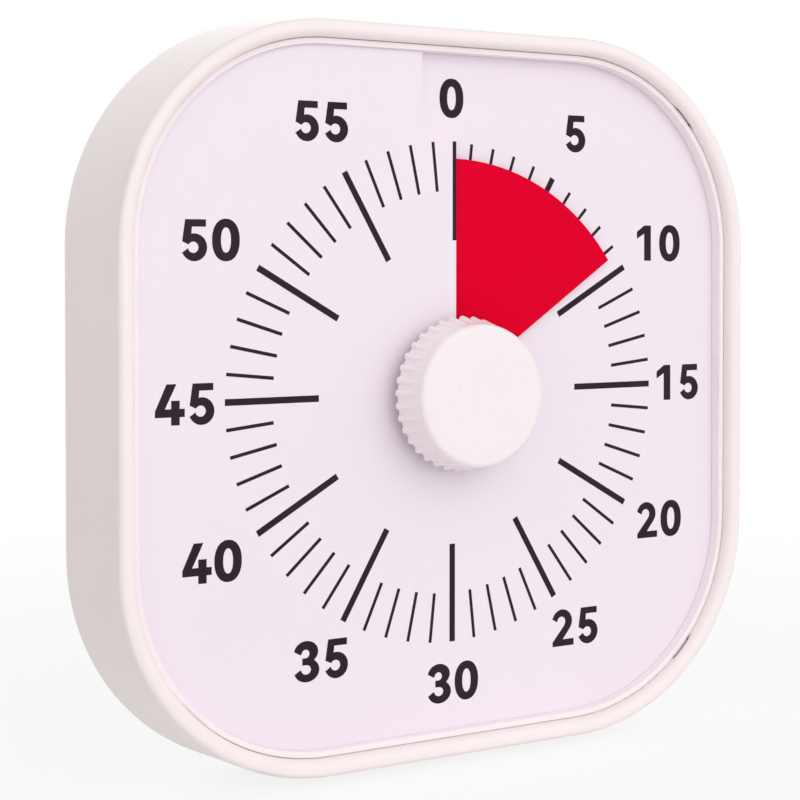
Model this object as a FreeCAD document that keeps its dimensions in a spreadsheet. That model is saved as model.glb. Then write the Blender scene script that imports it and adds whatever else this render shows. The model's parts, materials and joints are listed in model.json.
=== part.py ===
import FreeCAD, Part
import math
import os
import Sketcher

# Visual countdown timer for a classroom wall.
# X is to the viewer's right, Z is up, and the dial faces -Y.
# The origin is on the knob's axis, in the plane of the flat back.
# A depth is a distance in front of that plane, so a point at depth d has y = -d.

os.makedirs("parts", exist_ok=True)
doc = FreeCAD.newDocument("countdown_timer")
sheet = doc.addObject("Spreadsheet::Sheet", "Sizes")
Vector = FreeCAD.Vector
along_depth = FreeCAD.Rotation(Vector(1, 0, 0), 90)


class Size:
    """A number together with the sheet expression that gives it."""

    def __init__(self, text, number):
        self.text = text
        self.number = number

    def __add__(self, other):
        other = as_size(other)
        return Size(f"({self.text} + {other.text})", self.number + other.number)

    def __radd__(self, other):
        return as_size(other) + self

    def __sub__(self, other):
        other = as_size(other)
        return Size(f"({self.text} - {other.text})", self.number - other.number)

    def __rsub__(self, other):
        return as_size(other) - self

    def __mul__(self, other):
        other = as_size(other)
        return Size(f"({self.text} * {other.text})", self.number * other.number)

    def __rmul__(self, other):
        return as_size(other) * self

    def __truediv__(self, other):
        other = as_size(other)
        return Size(f"({self.text} / {other.text})", self.number / other.number)

    def __neg__(self):
        return Size(f"(-1 * {self.text})", -self.number)


def as_size(value):
    if isinstance(value, Size):
        return value
    return Size(repr(value), float(value))


def tangent(angle):
    return Size(f"tan({angle.text})", math.tan(math.radians(angle.number)))


def size(alias, number, note):
    """Write one driving dimension in the sheet."""
    row = len(size_notes) + 1
    size_notes.append(note)
    sheet.set(f"A{row}", note)
    sheet.set(f"B{row}", str(number))
    sheet.setAlias(f"B{row}", alias)
    return Size(f"Sizes.{alias}", float(number))


size_notes = []

# Body
back_half = size("back_half", 100, "half width and half height of the body at the back")
back_corner = size("back_corner", 60.5, "corner radius of the body at the back")
draft_angle = size("draft_angle", 5, "draft of the side walls, degrees")
body_depth = size("body_depth", 31, "back plane to the front of the rim")
wall = size("wall", 2.5, "side wall of the front housing")
rim_width = size("rim_width", 4.4, "width of the rim's front face with its two roundings")
rim_round = size("rim_round", 1.8, "rounding of the rim's outer edge")
rim_inner_round = size("rim_inner_round", 2.2, "rounding of the rim's inner edge")
seat_back = size("seat_back", 21.4, "depth of the rear face of the dial seat")
floor_front = size("floor_front", 20, "depth of the disc well's floor")
floor_thick = size("floor_thick", 2, "thickness of the disc well's floor")
well_radius = size("well_radius", 66, "radius of the disc well")
well_wall = size("well_wall", 2, "wall around the disc well")
slot_length = size("slot_length", 7, "length of a snap slot beside the ring")
slot_width = size("slot_width", 1.2, "how far a snap slot goes into the rim")
slot_depth = size("slot_depth", 4, "depth of a snap slot behind the ring's front face")
slot_rise = size("slot_rise", 0.5, "how far a snap slot reaches in front of the ring")

# Dial, ring and disc
dial_depth = size("dial_depth", 25, "depth of the middle of the dial's ramp")
ramp_pitch = size("ramp_pitch", 3, "rise of the dial and the disc in one turn")
dial_thick = size("dial_thick", 0.4, "thickness of the dial sheet")
dial_hole = size("dial_hole", 15, "radius of the hole in the dial")
ramp_overlap = size("ramp_overlap", 12, "angle by which the dial's two halves run past each other, degrees")
dial_gap = size("dial_gap", 0.1, "layer of glue behind the dial and slack in front of it")
slit_side = size("slit_side", 0.25, "side of the dial's slit, right of the axis")
jog_height = size("jog_height", 68.3, "height where the slit turns left")
jog_side = size("jog_side", 10.3, "side of the dial's cut above that height, left of the axis")
ring_gap = size("ring_gap", 0.1, "gap between the ring and the rim")
ring_width = size("ring_width", 1.6, "thickness of the ring's wall")
ring_front = size("ring_front", 27.9, "depth of the ring's front face")
ring_round = size("ring_round", 0.3, "rounding of the ring's front edges")
tab_sink = size("tab_sink", 0.7, "how far a snap tab is behind the ring's front face")
tab_thick = size("tab_thick", 0.7, "thickness of a snap tab")
tab_gap = size("tab_gap", 0.4, "gap around a snap tab in its slot")
film_radius = size("film_radius", 63.1, "radius of the red film")
film_thick = size("film_thick", 0.3, "thickness of the red film")
film_span = size("film_span", 357, "angle that the film covers, degrees")
set_angle = size("set_angle", 55.5, "dial angle that the timer is set to, degrees")
hub_radius = size("hub_radius", 8, "radius of the disc hub")
hub_front = size("hub_front", 29, "depth of the disc hub's front end")
hub_back = size("hub_back", 20.9, "depth of the disc hub's rear end")
flange_radius = size("flange_radius", 13, "radius of the disc hub's flange and of the clamp")
flange_thick = size("flange_thick", 1, "thickness of the flange")
clamp_thick = size("clamp_thick", 0.8, "thickness of the clamp")
film_fit = size("film_fit", 0.05, "gap between the film and what holds it")

# Shaft and knob
shaft_radius = size("shaft_radius", 3, "radius of the drive shaft")
shaft_flat = size("shaft_flat", 0.7, "depth of the flat on the shaft")
shaft_fit = size("shaft_fit", 0.05, "radial clearance of a running or sliding fit")
shaft_front = size("shaft_front", 38.6, "depth of the shaft's front end")
flat_back = size("flat_back", 20.4, "depth where the flat on the shaft ends")
journal_radius = size("journal_radius", 2, "radius of the shaft's rear journal")
collar_radius = size("collar_radius", 4.5, "radius of the shaft's collar")
collar_thick = size("collar_thick", 1, "thickness of the shaft's collar")
knob_front = size("knob_front", 41, "depth of the knob's face")
knob_back = size("knob_back", 30.2, "depth of the knob's rear edge")
knob_face_radius = size("knob_face_radius", 18.8, "radius of the knob at its face")
knob_back_radius = size("knob_back_radius", 20, "radius of the knob between the ribs at its rear edge")
knob_round = size("knob_round", 1.5, "rounding of the knob's front edge")
knob_wall = size("knob_wall", 2, "wall of the knob")
rib_count = size("rib_count", 37, "number of ribs on the knob")
rib_radius = size("rib_radius", 1, "radius of a rib")
rib_height = size("rib_height", 0.9, "height of a rib at the knob's rear edge")
rib_run = size("rib_run", 8.5, "length over which a rib fades out")
rib_slope = size("rib_slope", 1.9, "how much nearer the axis a rib's front end is")
socket_radius = size("socket_radius", 6, "radius of the socket inside the knob")
socket_back = size("socket_back", 32.2, "depth of the socket's rear end")
socket_web = size("socket_web", 1.2, "thickness of the webs beside the socket")

# Movement
case_back = size("case_back", 6, "depth of the movement's rear face")
case_wall = size("case_wall", 1.2, "wall of the movement case")
case_left = size("case_left", 34, "left side of the movement case")
case_right = size("case_right", 32, "right side of the movement case")
case_low = size("case_low", 36, "lower side of the movement case")
case_high = size("case_high", 18, "upper side of the movement case")
case_corner = size("case_corner", 4, "corner radius of the movement case")
case_fit = size("case_fit", 0.1, "gap between the movement case and the floor or its cover")
nose_radius = size("nose_radius", 5.5, "radius of the nose that passes through the floor")
ear_radius = size("ear_radius", 4, "radius of a fixing ear")
ear_depth = size("ear_depth", 12, "depth of an ear's front face")
ear_thick = size("ear_thick", 2, "thickness of an ear")
post_radius = size("post_radius", 3.2, "radius of a post that takes a small screw")
tooth_module = size("tooth_module", 0.4, "pitch diameter of a wheel for each tooth")
tooth_angle = size("tooth_angle", 25, "pressure angle, degrees")
wheel_tip = size("wheel_tip", 0.3, "height of a wheel's tooth above its pitch circle")
wheel_root = size("wheel_root", 0.48, "depth of a wheel's gap below its pitch circle")
pinion_tip = size("pinion_tip", 0.4, "height of a pinion's tooth above its pitch circle")
pinion_root = size("pinion_root", 0.38, "depth of a pinion's gap below its pitch circle")
tooth_slack = size("tooth_slack", 0.06, "how much thinner each tooth is than half a pitch")
pinion_teeth = size("pinion_teeth", 10, "teeth on each pinion")
centre_teeth = size("centre_teeth", 60, "teeth on the centre wheel")
train_teeth = size("train_teeth", 50, "teeth on the third and the second wheel")
wheel_thick = size("wheel_thick", 1, "thickness of a toothed wheel")
arbor_radius = size("arbor_radius", 0.8, "radius of an arbor")
pivot_radius = size("pivot_radius", 0.5, "radius of an arbor's pivots")
pivot_length = size("pivot_length", 0.8, "length of a pivot")
third_plane = size("third_plane", 11.5, "depth of the third wheel's rear face")
second_plane = size("second_plane", 9.4, "depth of the second wheel's rear face")
third_bearing = size("third_bearing", 180, "direction from the shaft to the third arbor, degrees from X")
second_bearing = size("second_bearing", 240, "direction from the third to the second arbor, degrees from X")
rotor_bearing = size("rotor_bearing", 312, "direction from the second arbor to the rotor, degrees from X")
magnet_rotor_radius = size("magnet_rotor_radius", 2.6, "radius of the rotor's magnet")
stator_hole = size("stator_hole", 3.1, "radius of the hole around the rotor's magnet")
stator_back = size("stator_back", 13.6, "depth of the stator plate's rear face")
stator_thick = size("stator_thick", 0.8, "thickness of the stator plate")
stator_half = size("stator_half", 4.6, "half width of the stator plate")
stator_left = size("stator_left", 8, "length of the stator plate left of the rotor")
stator_right = size("stator_right", 34, "length of the stator plate right of the rotor")
coil_radius = size("coil_radius", 3.1, "radius of the coil")
coil_length = size("coil_length", 20, "length of the coil")
coil_drop = size("coil_drop", 8.9, "distance from the stator plate's middle down to the coil's axis")
spool_radius = size("spool_radius", 1.8, "radius of the coil's spool inside the wire")
flange_width = size("flange_width", 0.7, "thickness of the spool's flanges")
core_half = size("core_half", 1.1, "half width of the coil's core")
spring_thick = size("spring_thick", 0.3, "thickness of the clutch spring")
spring_rise = size("spring_rise", 0.6, "free height of the clutch spring")
spring_radius = size("spring_radius", 5.6, "radius of the clutch spring")
clip_radius = size("clip_radius", 4.6, "radius of the shaft clip")
clip_thick = size("clip_thick", 0.6, "thickness of the shaft clip")
clip_groove = size("clip_groove", 0.5, "depth of the clip's groove in the shaft")

# Rear cover, magnets and stand
cover_gap = size("cover_gap", 0.4, "gap between the rear cover and the side wall")
cover_thick = size("cover_thick", 2.5, "thickness of the rear cover")
boss_radius = size("boss_radius", 4, "radius of a boss that takes a cover screw")
boss_inset = size("boss_inset", 11.1, "distance of a boss from the rear cover's side edge")
boss_up = size("boss_up", 45, "distance of a boss from the axis along Z")
pad_thick = size("pad_thick", 1.5, "extra thickness of the cover under a screw")
pad_radius = size("pad_radius", 5.2, "radius of that thicker pad")
screw_radius = size("screw_radius", 1.4, "radius of a cover screw")
screw_fit = size("screw_fit", 0.05, "radial gap around a screw's shank")
screw_length = size("screw_length", 12, "length of a cover screw under its head")
screw_head_radius = size("screw_head_radius", 2.8, "radius of a cover screw's head")
screw_head_height = size("screw_head_height", 1.7, "height of a cover screw's head")
screw_sink = size("screw_sink", 1.9, "depth of the recess for a cover screw's head")
recess_slack = size("recess_slack", 0.3, "slack around a screw head in its recess")
small_screw_radius = size("small_screw_radius", 0.9, "radius of a small screw")
small_screw_length = size("small_screw_length", 5, "length of a small screw under its head")
small_head_radius = size("small_head_radius", 1.8, "radius of a small screw's head")
small_head_height = size("small_head_height", 1, "height of a small screw's head")
head_bevel = size("head_bevel", 0.4, "bevel around a screw's head")
point_radius = size("point_radius", 0.3, "radius of a screw's blunt point")
drive_half = size("drive_half", 0.35, "half width of the cross in a screw's head")
drive_margin = size("drive_margin", 0.8, "distance from the cross to the edge of a screw's head")
drive_floor = size("drive_floor", 0.5, "thickness of a screw's head under its cross")
magnet_radius = size("magnet_radius", 9, "radius of a board magnet")
magnet_thick = size("magnet_thick", 2.5, "thickness of a board magnet")
magnet_inset = size("magnet_inset", 33.1, "distance of a magnet's centre from the rear cover's edges")
magnet_fit = size("magnet_fit", 0.1, "gap around a magnet")
magnet_cup_wall = size("magnet_cup_wall", 1.5, "wall around a magnet's pocket")
stand_half = size("stand_half", 21, "half width of the stand")
stand_thick = size("stand_thick", 3.2, "thickness of the stand")
stand_pivot = size("stand_pivot", 14, "distance of the stand's hinge below the axis")
tip_inset = size("tip_inset", 5.1, "distance of the stand's tip from the rear cover's lower edge")
stand_gap = size("stand_gap", 0.4, "gap around the folded stand")
stand_skin = size("stand_skin", 1.3, "wall around the stand's pocket")
stand_window_half = size("stand_window_half", 12, "half width of the window in the stand")
stand_window_edge = size("stand_window_edge", 12, "distance from the stand's ends to its window")
ear_block = size("ear_block", 6, "width of the block that holds an end of the hinge pin")
pin_radius = size("pin_radius", 0.9, "radius of the hinge pin")
pin_hold = size("pin_hold", 4, "length of the hinge pin inside each block")

# Power and electronics
battery_height = size("battery_height", 48, "height of the battery's axis above the knob's axis")
battery_radius = size("battery_radius", 7.1, "radius of the battery, an AA cell")
battery_length = size("battery_length", 49, "length of the battery's can")
nub_radius = size("nub_radius", 2.7, "radius of the battery's positive nub")
nub_length = size("nub_length", 1.5, "length of the battery's positive nub")
bay_half = size("bay_half", 29, "half length of the battery bay")
bay_slack = size("bay_slack", 0.6, "gap between the battery and the bay's sides")
bay_wall = size("bay_wall", 1.3, "wall of the battery bay")
bay_back_gap = size("bay_back_gap", 0.3, "gap between the battery and the bay's floor or door")
door_thick = size("door_thick", 1.7, "thickness of the battery door")
door_ledge = size("door_ledge", 1.8, "how far the door reaches over the bay's walls")
door_gap = size("door_gap", 0.2, "gap around the battery door")
lug_half = size("lug_half", 2.5, "half width of a lug on the battery door")
lug_place = size("lug_place", 5, "distance of a lug from the door's centre line")
lug_reach = size("lug_reach", 1.4, "how far a lug reaches under the cover")
lug_thick = size("lug_thick", 1, "thickness of a lug")
lug_room = size("lug_room", 0.4, "room around a lug")
contact_thick = size("contact_thick", 0.4, "thickness of the contact plates")
contact_half = size("contact_half", 5, "half width of the contact plates")
spring_wire = size("spring_wire", 0.35, "radius of the battery spring's wire")
spring_coil = size("spring_coil", 3.2, "radius of the battery spring's coil")
spring_turns = size("spring_turns", 3, "turns of the battery spring")
board_left = size("board_left", 42, "left side of the circuit board")
board_right = size("board_right", 74, "right side of the circuit board")
board_half = size("board_half", 18, "half height of the circuit board")
board_back = size("board_back", 8, "depth of the circuit board's rear face")
board_thick = size("board_thick", 1.2, "thickness of the circuit board")
board_inset = size("board_inset", 4, "distance of a board screw from the board's corners")
chip_side = size("chip_side", 7, "side of the controller chip")
chip_thick = size("chip_thick", 1.2, "thickness of the controller chip")
chip_lift = size("chip_lift", 8, "distance of the chip above the board's middle")
crystal_radius = size("crystal_radius", 1.2, "radius of the quartz crystal's can")
crystal_length = size("crystal_length", 7, "length of the quartz crystal's can")
crystal_drop = size("crystal_drop", 10, "distance of the crystal below the board's middle")
switch_half = size("switch_half", 5, "half length of the alarm switch's body")
switch_width = size("switch_width", 2.6, "half width of the alarm switch's body")
switch_back = size("switch_back", 4.6, "depth of the alarm switch's rear face")
slider_half = size("slider_half", 1.8, "half length of the switch's slider")
slider_width = size("slider_width", 1.2, "half width of the switch's slider")
slider_travel = size("slider_travel", 2, "travel of the slider to each side")
slider_back = size("slider_back", 0.4, "depth of the slider's end")
slider_root = size("slider_root", 1.2, "how deep the slider reaches into the switch")
slider_gap = size("slider_gap", 0.3, "gap around the slider")
buzzer_place = size("buzzer_place", 60, "distance of the buzzer from the axis along X")
buzzer_radius = size("buzzer_radius", 11, "radius of the buzzer")
buzzer_thick = size("buzzer_thick", 5, "thickness of the buzzer")
buzzer_wall = size("buzzer_wall", 1.2, "wall that holds the buzzer")
sound_radius = size("sound_radius", 1, "radius of a sound hole")
sound_circle = size("sound_circle", 5.5, "radius of the ring of sound holes")
sound_count = size("sound_count", 6, "number of sound holes in that ring")
doc.recompute()

# Sizes that follow from the ones above
ramp_low = dial_depth - ramp_pitch / 2
cover_half = back_half - wall - cover_gap
cover_corner = back_corner - wall - cover_gap
rim_half = back_half - body_depth * tangent(draft_angle) - rim_width
rim_corner = back_corner - body_depth * tangent(draft_angle) - rim_width
ring_half = rim_half - ring_gap
ring_corner = rim_corner - ring_gap
floor_back = floor_front - floor_thick
case_front = floor_back - case_fit
case_inner_front = case_front - case_wall
case_inner_back = case_back + case_wall
battery_depth = door_thick + bay_back_gap + battery_radius
bay_floor = battery_depth + battery_radius + bay_back_gap
bay_rise = battery_radius + bay_slack
door_half_length = bay_half + door_ledge
door_half_height = bay_rise + door_ledge
boss_across = cover_half - boss_inset
magnet_place = cover_half - magnet_inset
stand_tip = cover_half - tip_inset
reach = back_half * 2

produced = []


def bind(thing, **values):
    """Tie properties to the sheet; a dot in a property's path is written as two underscores."""
    for path, value in values.items():
        value = as_size(value)
        thing.setExpression(path.replace("__", "."), value.text)


def move(thing, x=0, depth=0, z=0):
    bind(thing, Placement__Base__x=x, Placement__Base__y=-as_size(depth), Placement__Base__z=z)


def box(name, left, right, back, front, low, high):
    solid = doc.addObject("Part::Box", name)
    bind(solid, Length=as_size(right) - left, Width=as_size(front) - back, Height=as_size(high) - low)
    move(solid, left, front, low)
    return solid


def rod(name, radius, back, front, x=0, z=0):
    """A cylinder along Y between two depths."""
    solid = doc.addObject("Part::Cylinder", name)
    solid.Placement = FreeCAD.Placement(Vector(), along_depth)
    bind(solid, Radius=radius, Height=as_size(front) - back)
    move(solid, x, back, z)
    return solid


def cross_rod(name, radius, left, right, depth, z):
    """A cylinder along X."""
    solid = doc.addObject("Part::Cylinder", name)
    solid.Placement = FreeCAD.Placement(Vector(), FreeCAD.Rotation(Vector(0, 1, 0), 90))
    bind(solid, Radius=radius, Height=as_size(right) - left)
    move(solid, left, depth, z)
    return solid


def fuse(name, items):
    solid = doc.addObject("Part::MultiFuse", name)
    solid.Shapes = items
    solid.Refine = True
    return solid


def group(name, items):
    """Separate solids that share one node."""
    solid = doc.addObject("Part::Compound", name)
    solid.Links = items
    return solid


def cut(name, base, tools):
    tool = tools[0] if len(tools) == 1 else fuse(name + "_tools", tools)
    solid = doc.addObject("Part::Cut", name)
    solid.Base = base
    solid.Tool = tool
    return solid


def common(name, first, second):
    solid = doc.addObject("Part::MultiCommon", name)
    solid.Shapes = [first, second]
    return solid


def finish(solid, label):
    """Name a finished sub-part."""
    solid.Label = label
    produced.append(solid)
    return solid


def origin_plane(body, role):
    for feature in body.Origin.OriginFeatures:
        if feature.Role == role:
            return feature
    raise ValueError(role)


def new_body(name):
    return doc.addObject("PartDesign::Body", name + "_body")


def new_sketch(body, name, role="XZ_Plane", depth=0):
    """A sketch on an origin plane; on XZ_Plane it stands at a depth."""
    sketch = body.newObject("Sketcher::SketchObject", name)
    sketch.AttachmentSupport = [(origin_plane(body, role), "")]
    sketch.MapMode = "FlatFace"
    bind(sketch, AttachmentOffset__Base__z=depth)
    return sketch


def constrain(sketch, kind, *where, value):
    """Add a dimension to a sketch and tie it to the sheet."""
    value = as_size(value)
    index = sketch.addConstraint(Sketcher.Constraint(kind, *where, value.number))
    sketch.setExpression(f"Constraints[{index}]", value.text)


def draw_circle(sketch, radius, x=0, z=0):
    x, z, radius = as_size(x), as_size(z), as_size(radius)
    centre = Vector(x.number, z.number, 0)
    circle = sketch.addGeometry(Part.Circle(centre, Vector(0, 0, 1), radius.number), False)
    constrain(sketch, "Radius", circle, value=radius)
    constrain(sketch, "DistanceX", -1, 1, circle, 3, value=x)
    constrain(sketch, "DistanceY", -1, 1, circle, 3, value=z)


def draw_polygon(sketch, points):
    """A closed outline through points (x, z)."""
    points = [(as_size(x), as_size(z)) for x, z in points]
    places = [Vector(x.number, z.number, 0) for x, z in points]
    lines = []
    for start, end in zip(places, places[1:] + places[:1]):
        lines.append(sketch.addGeometry(Part.LineSegment(start, end), False))
    for line, follower in zip(lines, lines[1:] + lines[:1]):
        sketch.addConstraint(Sketcher.Constraint("Coincident", line, 2, follower, 1))
    for line, (x, z) in zip(lines, points):
        constrain(sketch, "DistanceX", -1, 1, line, 1, value=x)
        constrain(sketch, "DistanceY", -1, 1, line, 1, value=z)


def draw_rounded(sketch, left, right, low, high, corner):
    """A rectangle with four equal round corners."""
    left, right, low, high, corner = map(as_size, (left, right, low, high, corner))
    x0, x1, z0, z1, turn = (s.number for s in (left, right, low, high, corner))
    sides = [
        ((x0 + turn, z1), (x1 - turn, z1)),
        ((x1, z1 - turn), (x1, z0 + turn)),
        ((x1 - turn, z0), (x0 + turn, z0)),
        ((x0, z0 + turn), (x0, z1 - turn)),
    ]
    centres = [
        (x1 - turn, z1 - turn, 0),
        (x1 - turn, z0 + turn, -90),
        (x0 + turn, z0 + turn, 180),
        (x0 + turn, z1 - turn, 90),
    ]
    lines = [sketch.addGeometry(Part.LineSegment(Vector(*a, 0), Vector(*b, 0)), False) for a, b in sides]
    arcs = []
    for x, z, start in centres:
        circle = Part.Circle(Vector(x, z, 0), Vector(0, 0, 1), turn)
        arc = Part.ArcOfCircle(circle, math.radians(start), math.radians(start + 90))
        arcs.append(sketch.addGeometry(arc, False))
    for index, arc in enumerate(arcs):
        sketch.addConstraint(Sketcher.Constraint("Tangent", lines[index], 2, arc, 2))
        sketch.addConstraint(Sketcher.Constraint("Tangent", arc, 1, lines[(index + 1) % 4], 1))
        if index:
            sketch.addConstraint(Sketcher.Constraint("Equal", arcs[0], arc))
    for index, kind in enumerate(("Horizontal", "Vertical", "Horizontal", "Vertical")):
        sketch.addConstraint(Sketcher.Constraint(kind, lines[index]))
    constrain(sketch, "Radius", arcs[0], value=corner)
    constrain(sketch, "DistanceY", -1, 1, lines[0], 1, value=high)
    constrain(sketch, "DistanceX", -1, 1, lines[1], 1, value=right)
    constrain(sketch, "DistanceY", -1, 1, lines[2], 1, value=low)
    constrain(sketch, "DistanceX", -1, 1, lines[3], 1, value=left)


def draw_square(sketch, half, corner):
    draw_rounded(sketch, -as_size(half), half, -as_size(half), half, corner)


def pad(body, sketch, length, taper=None):
    feature = body.newObject("PartDesign::Pad", sketch.Name + "_pad")
    feature.Profile = sketch
    bind(feature, Length=length)
    if taper is not None:
        bind(feature, TaperAngle=-taper)
    return feature


def pocket(body, sketch, length, forward=False, taper=None):
    """Cut backwards from a sketch, or forwards from it, and see that it removed something."""
    before = body.Shape.Volume
    feature = body.newObject("PartDesign::Pocket", sketch.Name + "_pocket")
    feature.Profile = sketch
    feature.Reversed = forward
    bind(feature, Length=length)
    if taper is not None:
        bind(feature, TaperAngle=-taper)
    doc.recompute()
    if body.Shape.Volume >= before:
        raise ValueError(f"{feature.Name} removes nothing")
    return feature


def plate(name, back, front, draw):
    """A body padded forwards from an outline that draw puts in its sketch."""
    body = new_body(name)
    sketch = new_sketch(body, name + "_outline", depth=back)
    draw(sketch)
    pad(body, sketch, as_size(front) - back)
    return body


def turned(name, profile, x=0, z=0):
    """A body turned about an axis along Y from points (radius, depth)."""
    body = new_body(name)
    sketch = new_sketch(body, name + "_profile", role="XY_Plane")
    draw_polygon(sketch, [(radius, -as_size(depth)) for radius, depth in profile])
    feature = body.newObject("PartDesign::Revolution", name + "_turn")
    feature.Profile = sketch
    feature.ReferenceAxis = (sketch, ["V_Axis"])
    feature.Angle = 360
    move(body, x, 0, z)
    return body


def edges_where(shape, test):
    return [f"Edge{index + 1}" for index, edge in enumerate(shape.Edges) if test(edge.BoundBox)]


def fillet(body, base, name, radius, test):
    """Round the edges of a feature whose bounding boxes pass a test."""
    doc.recompute()
    feature = body.newObject("PartDesign::Fillet", name)
    feature.Base = (base, edges_where(base.Shape, test))
    bind(feature, Radius=radius)
    doc.recompute()
    return feature


def at_depth(box_of_edge, depth):
    """Whether an edge lies wholly at one depth."""
    near = 1e-4
    return abs(box_of_edge.YMin + depth.number) < near and abs(box_of_edge.YMax + depth.number) < near


# The ramp that the dial and the disc share: one turn rises by the pitch, clockwise from the top.
def ramp(name, start, end, inner, outer, depth_at_top, thick):
    """A slab on the ramp between two dial angles in degrees, thickened forwards."""
    start, end = as_size(start), as_size(end)
    edges = []
    for tag, radius in (("inner", inner), ("outer", outer)):
        helix = doc.addObject("Part::Helix", f"{name}_{tag}")
        helix.LocalCoord = "Left-handed"
        bind(helix, Radius=radius, Pitch=ramp_pitch, Height=ramp_pitch * (end - start) / 360)
        edges.append(helix)
    sheet_face = doc.addObject("Part::RuledSurface", name + "_face")
    sheet_face.Curve1 = (edges[0], ["Edge1"])
    sheet_face.Curve2 = (edges[1], ["Edge1"])
    slab = doc.addObject("Part::Extrusion", name)
    slab.Base = sheet_face
    slab.DirMode = "Custom"
    slab.Dir = Vector(0, 0, 1)
    slab.Solid = True
    bind(slab, LengthFwd=thick)
    upright = FreeCAD.Rotation(Vector(0, 0, 1), Vector(-1, 0, 0), Vector(0, -1, 0), "XYZ")
    turn = FreeCAD.Rotation(Vector(0, 1, 0), start.number)
    slab.Placement = FreeCAD.Placement(Vector(), turn * upright)
    move(slab, 0, as_size(depth_at_top) + ramp_pitch * start / 360, 0)
    return slab



def slit_side_prism(name, side):
    """All space on one side of the dial's slit, which runs up, jogs left and runs up again."""
    back, front = -reach, reach
    if side == "right":
        items = [
            box(name + "_main", slit_side, reach, back, front, -reach, reach),
            box(name + "_lower", 0, slit_side, back, front, -reach, 0),
            box(name + "_upper", -jog_side, slit_side, back, front, jog_height, reach),
        ]
    else:
        items = [
            box(name + "_main", -reach, -jog_side, back, front, -reach, reach),
            box(name + "_lower", -jog_side, 0, back, front, -reach, jog_height),
            box(name + "_upper", 0, slit_side, back, front, 0, jog_height),
        ]
    return fuse(name, items)


def ramp_space(name, depth_at_top, thick, limit=None):
    """The two halves of a one-turn slab on the dial's ramp, parted at the slit."""
    halves = []
    for side, turned_by in (("right", 0), ("left", 180)):
        start, end = turned_by - ramp_overlap, turned_by + 180 + ramp_overlap
        slab = ramp(f"{name}_{side}_slab", start, end, dial_hole / 2, reach, depth_at_top, thick)
        half = common(f"{name}_{side}", slab, slit_side_prism(f"{name}_{side}_space", side))
        if limit is not None:
            half = common(f"{name}_{side}_limited", half, limit(f"{name}_{side}_limit"))
        halves.append(half)
    return halves


def dial_outline(name):
    """The square prism that the dial sheet fills inside the rim."""
    half, corner = ring_half - dial_gap, ring_corner - dial_gap
    return plate(name, floor_back, body_depth, lambda sketch: draw_square(sketch, half, corner))


def recess_outline(name):
    return plate(name, floor_back, body_depth, lambda sketch: draw_square(sketch, rim_half, rim_corner))


def diagonal_reach(half, corner):
    """How far the middle of a round corner is from the centre."""
    return (half - corner) * math.sqrt(2) + corner


def corner_places(across, up):
    return [(sx * across, sz * up) for sx in (-1, 1) for sz in (-1, 1)]


# Front housing
def movement_ears():
    """Where the movement's fixing ears stand, clear of its case."""
    out = post_radius + case_fit * 2
    upper, lower = case_high / 2, -case_low + ear_radius
    return [(-case_left - out, upper), (case_right + out, upper), (case_right + out, lower)]


def board_screw_places():
    left, right = board_left + board_inset, board_right - board_inset
    up = board_half - board_inset
    return [(left, up), (right, -up)]


def ceiling(x, z):
    """Depth of the wall that a post stands on: the well's floor, or outside the well the dial seat."""
    nearest = math.hypot(x.number, z.number) - post_radius.number
    return floor_back if nearest < well_radius.number else seat_back


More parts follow.
